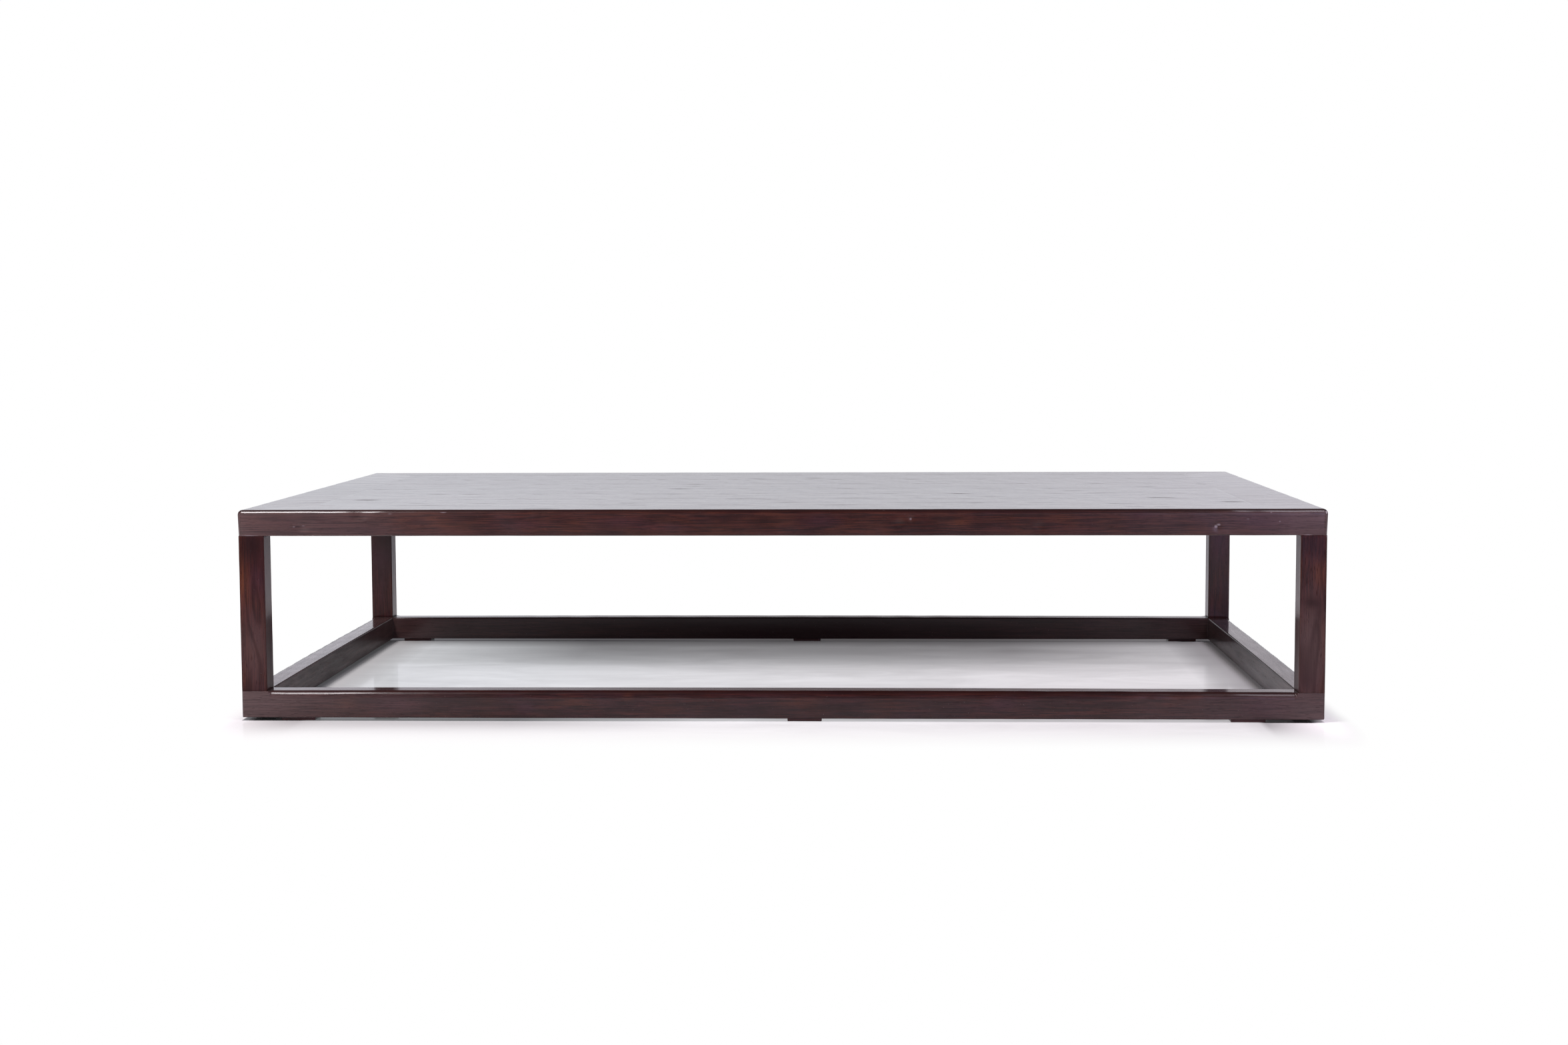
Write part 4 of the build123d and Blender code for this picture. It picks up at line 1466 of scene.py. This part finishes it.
def light_under_table(sheet, x, y):
    """The painted light that the paper gives off under the table, in place of the light that comes in
    under it.

    It falls off towards the back, less so near the two ends, and in the shade beside the end
    rails and the back rail.
    """
    glow = sheet.stretch(y, GLOW_START, GLOW_STOP, FRONT_GLOW, BACK_GLOW, "SMOOTHSTEP")
    to_side = sheet.magnitude(x)
    near_end = sheet.stretch(to_side, END_START * HALF_LENGTH, END_STOP * HALF_LENGTH)
    near_end = sheet.product(near_end, sheet.stretch(x, *STEADY_TURN, *STEADINESS))
    glow = sheet.mix(near_end, glow, END_GLOW)
    rails = ((to_side, HALF_LENGTH, END_SHADE), (y, HALF_DEPTH, BACK_SHADE))
    for place, half, (reach, light_left) in rails:
        rail = half - BASE_RAIL_WIDTH
        glow = sheet.product(glow, sheet.stretch(place, rail - reach, rail, 1.0, light_left))
    return glow


def light_under_rails(sheet, x, y):
    """What the rails leave of the light, from 1 in the open to hardly any near the corners: painted shade
    under the rails.
    """
    to_side = sheet.magnitude(x)
    clear = []
    sides = zip((to_side, sheet.magnitude(y)), (HALF_LENGTH, HALF_DEPTH), UNDER_RAILS)
    for place, half, light_left in sides:
        rail = half - BASE_RAIL_WIDTH
        clear.append(sheet.stretch(place, rail - RAIL_BLUR, rail, 1.0, light_left))
    near_corner = sheet.stretch(to_side, *CORNER_START)
    near_corner = sheet.less(near_corner, sheet.stretch(to_side, *CORNER_END))
    shade = sheet.mix(near_corner, sheet.stretch(x, *RAIL_TURN, *RAIL_SHADE), CORNER_LIGHT)
    return sheet.mix(sheet.product(*clear), shade, 1.0)


def paper_white(name, studio):
    """White paper, a little glossy, blown out to white round the table, with painted shade under and
    beside it and painted light that it gives off under it.
    """
    material, sheet = new_material(name)
    place = sheet.object_place()
    x, y, _ = sheet.split(place)
    distance = past_table(sheet, x, y)
    outside = sheet.stretch(distance, 0.0, 1.0, course="SMOOTHSTEP")
    lit = sheet.mix(outside, light_under_rails(sheet, x, y), 1.0)
    reflection_streaks = sheet.stretch(sheet.noise(place, REFLECTION_STREAKS), *REFLECTION_STREAK_GLOW)
    glow = sheet.product(light_under_table(sheet, x, y), lit, reflection_streaks)
    beside = [(stop, tuple(share * value for value in studio.paper)) for stop, share in NEAR_PAPER]
    beside = sheet.ramp(x, beside)
    # painted shade: the paper darker under the table and nearly black under the rails
    covered = sheet.blend(lit, BLACK, beside)
    open_paper = sheet.blend(outside, beside, studio.paper)
    paper = sheet.add(
        "ShaderNodeBsdfPrincipled",
        {
            "Base Color": sheet.blend(sheet.stretch(distance, 0.0, EDGE_BLUR), covered, open_paper),
            "Roughness": PAPER_ROUGHNESS,
            "Specular IOR Level": 0.0,
            "Emission Color": sheet.ramp(x, FLOOR_TINTS),
            "Emission Strength": sheet.product(glow, sheet.less(1.0, outside)),
        },
    )
    gloss = sheet.add("ShaderNodeBsdfGlossy", {"Roughness": SHEEN_ROUGHNESS})
    sheened = sheet.add("ShaderNodeMixShader", {0: SHEEN, 1: paper.outputs[0], 2: gloss.outputs[0]})
    white = sheet.add("ShaderNodeEmission")
    rays = sheet.add("ShaderNodeLightPath")
    blown_out = sheet.product(outside, rays.outputs["Is Camera Ray"])
    shaders = {0: blown_out, 1: sheened.outputs[0], 2: white.outputs[0]}
    seen = sheet.add("ShaderNodeMixShader", shaders)
    sheet.add("ShaderNodeOutputMaterial", {"Surface": seen.outputs[0]})
    return material


def make_floor(studio):
    """One rectangle of paper on the floor."""
    (left, front), (right, back) = PAPER_LOW, PAPER_HIGH
    corners = [(left, front, 0.0), (right, front, 0.0), (right, back, 0.0), (left, back, 0.0)]
    mesh = bpy.data.meshes.new("Paper floor")
    mesh.from_pydata(corners, [], [(0, 1, 2, 3)])
    mesh.materials.append(paper_white("White paper", studio))
    floor = bpy.data.objects.new("Paper floor", mesh)
    bpy.context.scene.collection.objects.link(floor)


# --- The room, the lights and the camera ----------------------------------------------------------

# The walls, as (the direction's X, the colour's setting), from left to right
BACKDROP = ((-0.3, "backdrop_left"), (0.0, "backdrop_middle"), (0.3, "backdrop_right"))
UPPER_BACKDROP = ((-0.3, "upper_left"), (0.0, "upper_middle"), (0.3, "upper_right"))
FRONT_ROOM = (
    (-0.60, "side_wall"),
    (-0.45, "left_window"),
    (-0.28, "left_window"),
    (-0.15, "front_wall"),
    (0.09, "front_wall"),
    (0.21, "right_window"),
    (0.42, "right_window"),
    (0.60, "side_wall"),
)
FRONT_FLOOR = (
    (-0.60, "bare_floor"),
    (-0.45, "left_floor"),
    (-0.28, "left_floor"),
    (-0.13, "bare_floor"),
    (0.07, "bare_floor"),
    (0.21, "right_floor"),
    (0.42, "right_floor"),
    (0.60, "bare_floor"),
)
FLOOR_LINE = (-0.125, -0.100)  # the direction's Z where the front wall meets the bare floor
WALL_FOOT = (-0.090, -0.074)  # where the floor's light on the foot of that wall fades out
FOOT_LIGHT = (1.3, 0.9)  # how bright the wall is in that light and above it, as shares
BACKDROP_STEP = (0.085, 0.125)  # the direction's Z where the backdrop turns into its upper part
BACK_TURN = (-0.4, 0.3)  # the direction's Y where the front room ends and the backdrop is whole
WALL_TOPS = (0.5, 0.2)  # how high the front wall and the backdrop reach
WALL_FADE = (-0.09, 0.12)  # from below their tops to above them, where they turn into the ceiling


def make_world(studio):
    """The room: a low pale backdrop behind, a greyer room with two windows in front, a dark ceiling.

    The camera itself sees plain white.
    """
    world = bpy.data.worlds.new("Studio room")
    world.use_nodes = True
    sheet = NodeSheet(world.node_tree)
    direction = sheet.add("ShaderNodeTexCoord").outputs["Generated"]
    across, away, upwards = sheet.split(direction)
    backdrop, front, floor, upper = (
        sheet.ramp(across, [(place, getattr(studio, name)) for place, name in stops])
        for stops in (BACKDROP, FRONT_ROOM, FRONT_FLOOR, UPPER_BACKDROP)
    )
    backdrop = sheet.blend(sheet.stretch(upwards, *BACKDROP_STEP), backdrop, upper)
    foot = sheet.stretch(upwards, *WALL_FOOT, *FOOT_LIGHT)
    front = sheet.add("ShaderNodeVectorMath", {0: front, "Scale": foot}, operation="SCALE").outputs[0]
    front = sheet.blend(sheet.stretch(upwards, *FLOOR_LINE), floor, front)
    to_back = sheet.stretch(away, *BACK_TURN)
    wall = sheet.blend(to_back, front, backdrop)
    above = sheet.less(upwards, sheet.stretch(to_back, 0.0, 1.0, *WALL_TOPS))
    room = sheet.blend(sheet.stretch(above, *WALL_FADE), wall, studio.ceiling)
    room = sheet.add("ShaderNodeBackground", {"Color": room}).outputs[0]
    plain_white = sheet.add("ShaderNodeBackground", {"Color": (*WHITE, 1.0)}).outputs[0]
    rays = sheet.add("ShaderNodeLightPath").outputs["Is Camera Ray"]
    seen = sheet.add("ShaderNodeMixShader", {0: rays, 1: room, 2: plain_white})
    sheet.add("ShaderNodeOutputWorld", {"Surface": seen.outputs[0]})
    bpy.context.scene.world = world


class Softbox(NamedTuple):
    """A rectangular light, and whether it lights things or shows only in their gloss."""

    place: tuple
    aim: tuple
    size: tuple
    colour: tuple
    lights: bool


# The softboxes, by the settings of their power
SOFTBOXES = {
    "left_softbox": Softbox(
        (-1.74, -1.5, 2.9), (-1.74, 0.0, 0.0), (0.8, 1.5), (1.0, 0.95, 0.97), lights=True
    ),
    "right_softbox": Softbox(
        (1.74, -1.5, 2.9), (1.74, 0.0, 0.0), (0.95, 1.8), (0.96, 0.89, 1.0), lights=True
    ),
    "corner_softbox": Softbox(
        (2.72, -0.38, 1.22), (0.91, -0.52, 0.35), (1.4, 1.2), (0.93, 0.86, 1.0), lights=False
    ),
}


def make_softbox(name, softbox, power):
    """A softbox that the camera doesn't see, turned to the place it aims at."""
    light = bpy.data.lights.new(name, "AREA")
    light.shape = "RECTANGLE"
    light.size, light.size_y = softbox.size
    light.energy = power
    light.color = softbox.colour
    stand = bpy.data.objects.new(name, light)
    stand.location = softbox.place
    towards = Vector(softbox.aim) - Vector(softbox.place)
    stand.rotation_euler = towards.to_track_quat("-Z", "Y").to_euler()
    stand.visible_camera = False
    stand.visible_diffuse = softbox.lights
    bpy.context.scene.collection.objects.link(stand)


def make_camera(studio):
    """The camera: it looks along its yaw and pitch, and is then rolled about that line."""
    yaw, pitch, roll = studio.yaw, studio.pitch, studio.roll
    forward = np.array(
        [math.sin(yaw) * math.cos(pitch), math.cos(yaw) * math.cos(pitch), math.sin(pitch)]
    )
    level = np.array([math.cos(yaw), -math.sin(yaw), 0.0])
    upright = np.cross(level, forward)
    right = level * math.cos(roll) + upright * math.sin(roll)
    above = upright * math.cos(roll) - level * math.sin(roll)
    turn = Matrix(np.array([right, above, -forward]).T.tolist())
    data = bpy.data.cameras.new("Camera")
    data.lens = studio.lens
    data.sensor_fit = "HORIZONTAL"
    camera = bpy.data.objects.new("Camera", data)
    camera.matrix_world = Matrix.Translation(studio.camera_place) @ turn.to_4x4()
    bpy.context.scene.collection.objects.link(camera)
    bpy.context.scene.camera = camera


class KANG_OT_studio(bpy.types.Operator):
    """Make the floor, the lights, the room and the camera"""

    bl_idname = "kang_table.studio"
    bl_label = "Studio"

    def execute(self, context):
        studio = context.scene.kang_studio
        make_floor(studio)
        make_world(studio)
        for setting, softbox in SOFTBOXES.items():
            name = setting.replace("_", " ").capitalize()
            make_softbox(name, softbox, getattr(studio, setting))
        make_camera(studio)
        context.scene.view_settings.view_transform = "Standard"
        return {"FINISHED"}


# --- The add-on -----------------------------------------------------------------------------------

SETTINGS = {"kang_shape": KangTableShape, "kang_finish": KangTableFinish, "kang_studio": KangTableStudio}
STEPS = (
    KANG_OT_studio,
    KANG_OT_top_rails,
    KANG_OT_base_rails,
    KANG_OT_boards,
    KANG_OT_legs,
    KANG_OT_floor_pads,
    KANG_OT_fixings,
)


class KANG_PT_panel(bpy.types.Panel):
    """Steps that dress the table"""

    bl_idname = "KANG_PT_panel"
    bl_label = "Kang table"
    bl_space_type = "VIEW_3D"
    bl_region_type = "UI"
    bl_category = "Kang table"

    def draw(self, context):
        for step in STEPS:
            self.layout.operator(step.bl_idname)
        for group in SETTINGS:
            settings = getattr(context.scene, group)
            for name in settings.__annotations__:
                self.layout.prop(settings, name)


def register():
    """Makes the settings, the operators and the panel known to Blender."""
    for name, settings in SETTINGS.items():
        bpy.utils.register_class(settings)
        setattr(bpy.types.Scene, name, bpy.props.PointerProperty(type=settings))
    for step in (*STEPS, KANG_PT_panel):
        bpy.utils.register_class(step)


def unregister():
    """Takes away what register made."""
    for step in reversed((*STEPS, KANG_PT_panel)):
        bpy.utils.unregister_class(step)
    for name, settings in SETTINGS.items():
        delattr(bpy.types.Scene, name)
        bpy.utils.unregister_class(settings)


def main():
    """Dresses the table."""
    register()
    for step in STEPS:
        group, operator = step.bl_idname.split(".")
        getattr(getattr(bpy.ops, group), operator)()


if __name__ == "__main__":
    main()
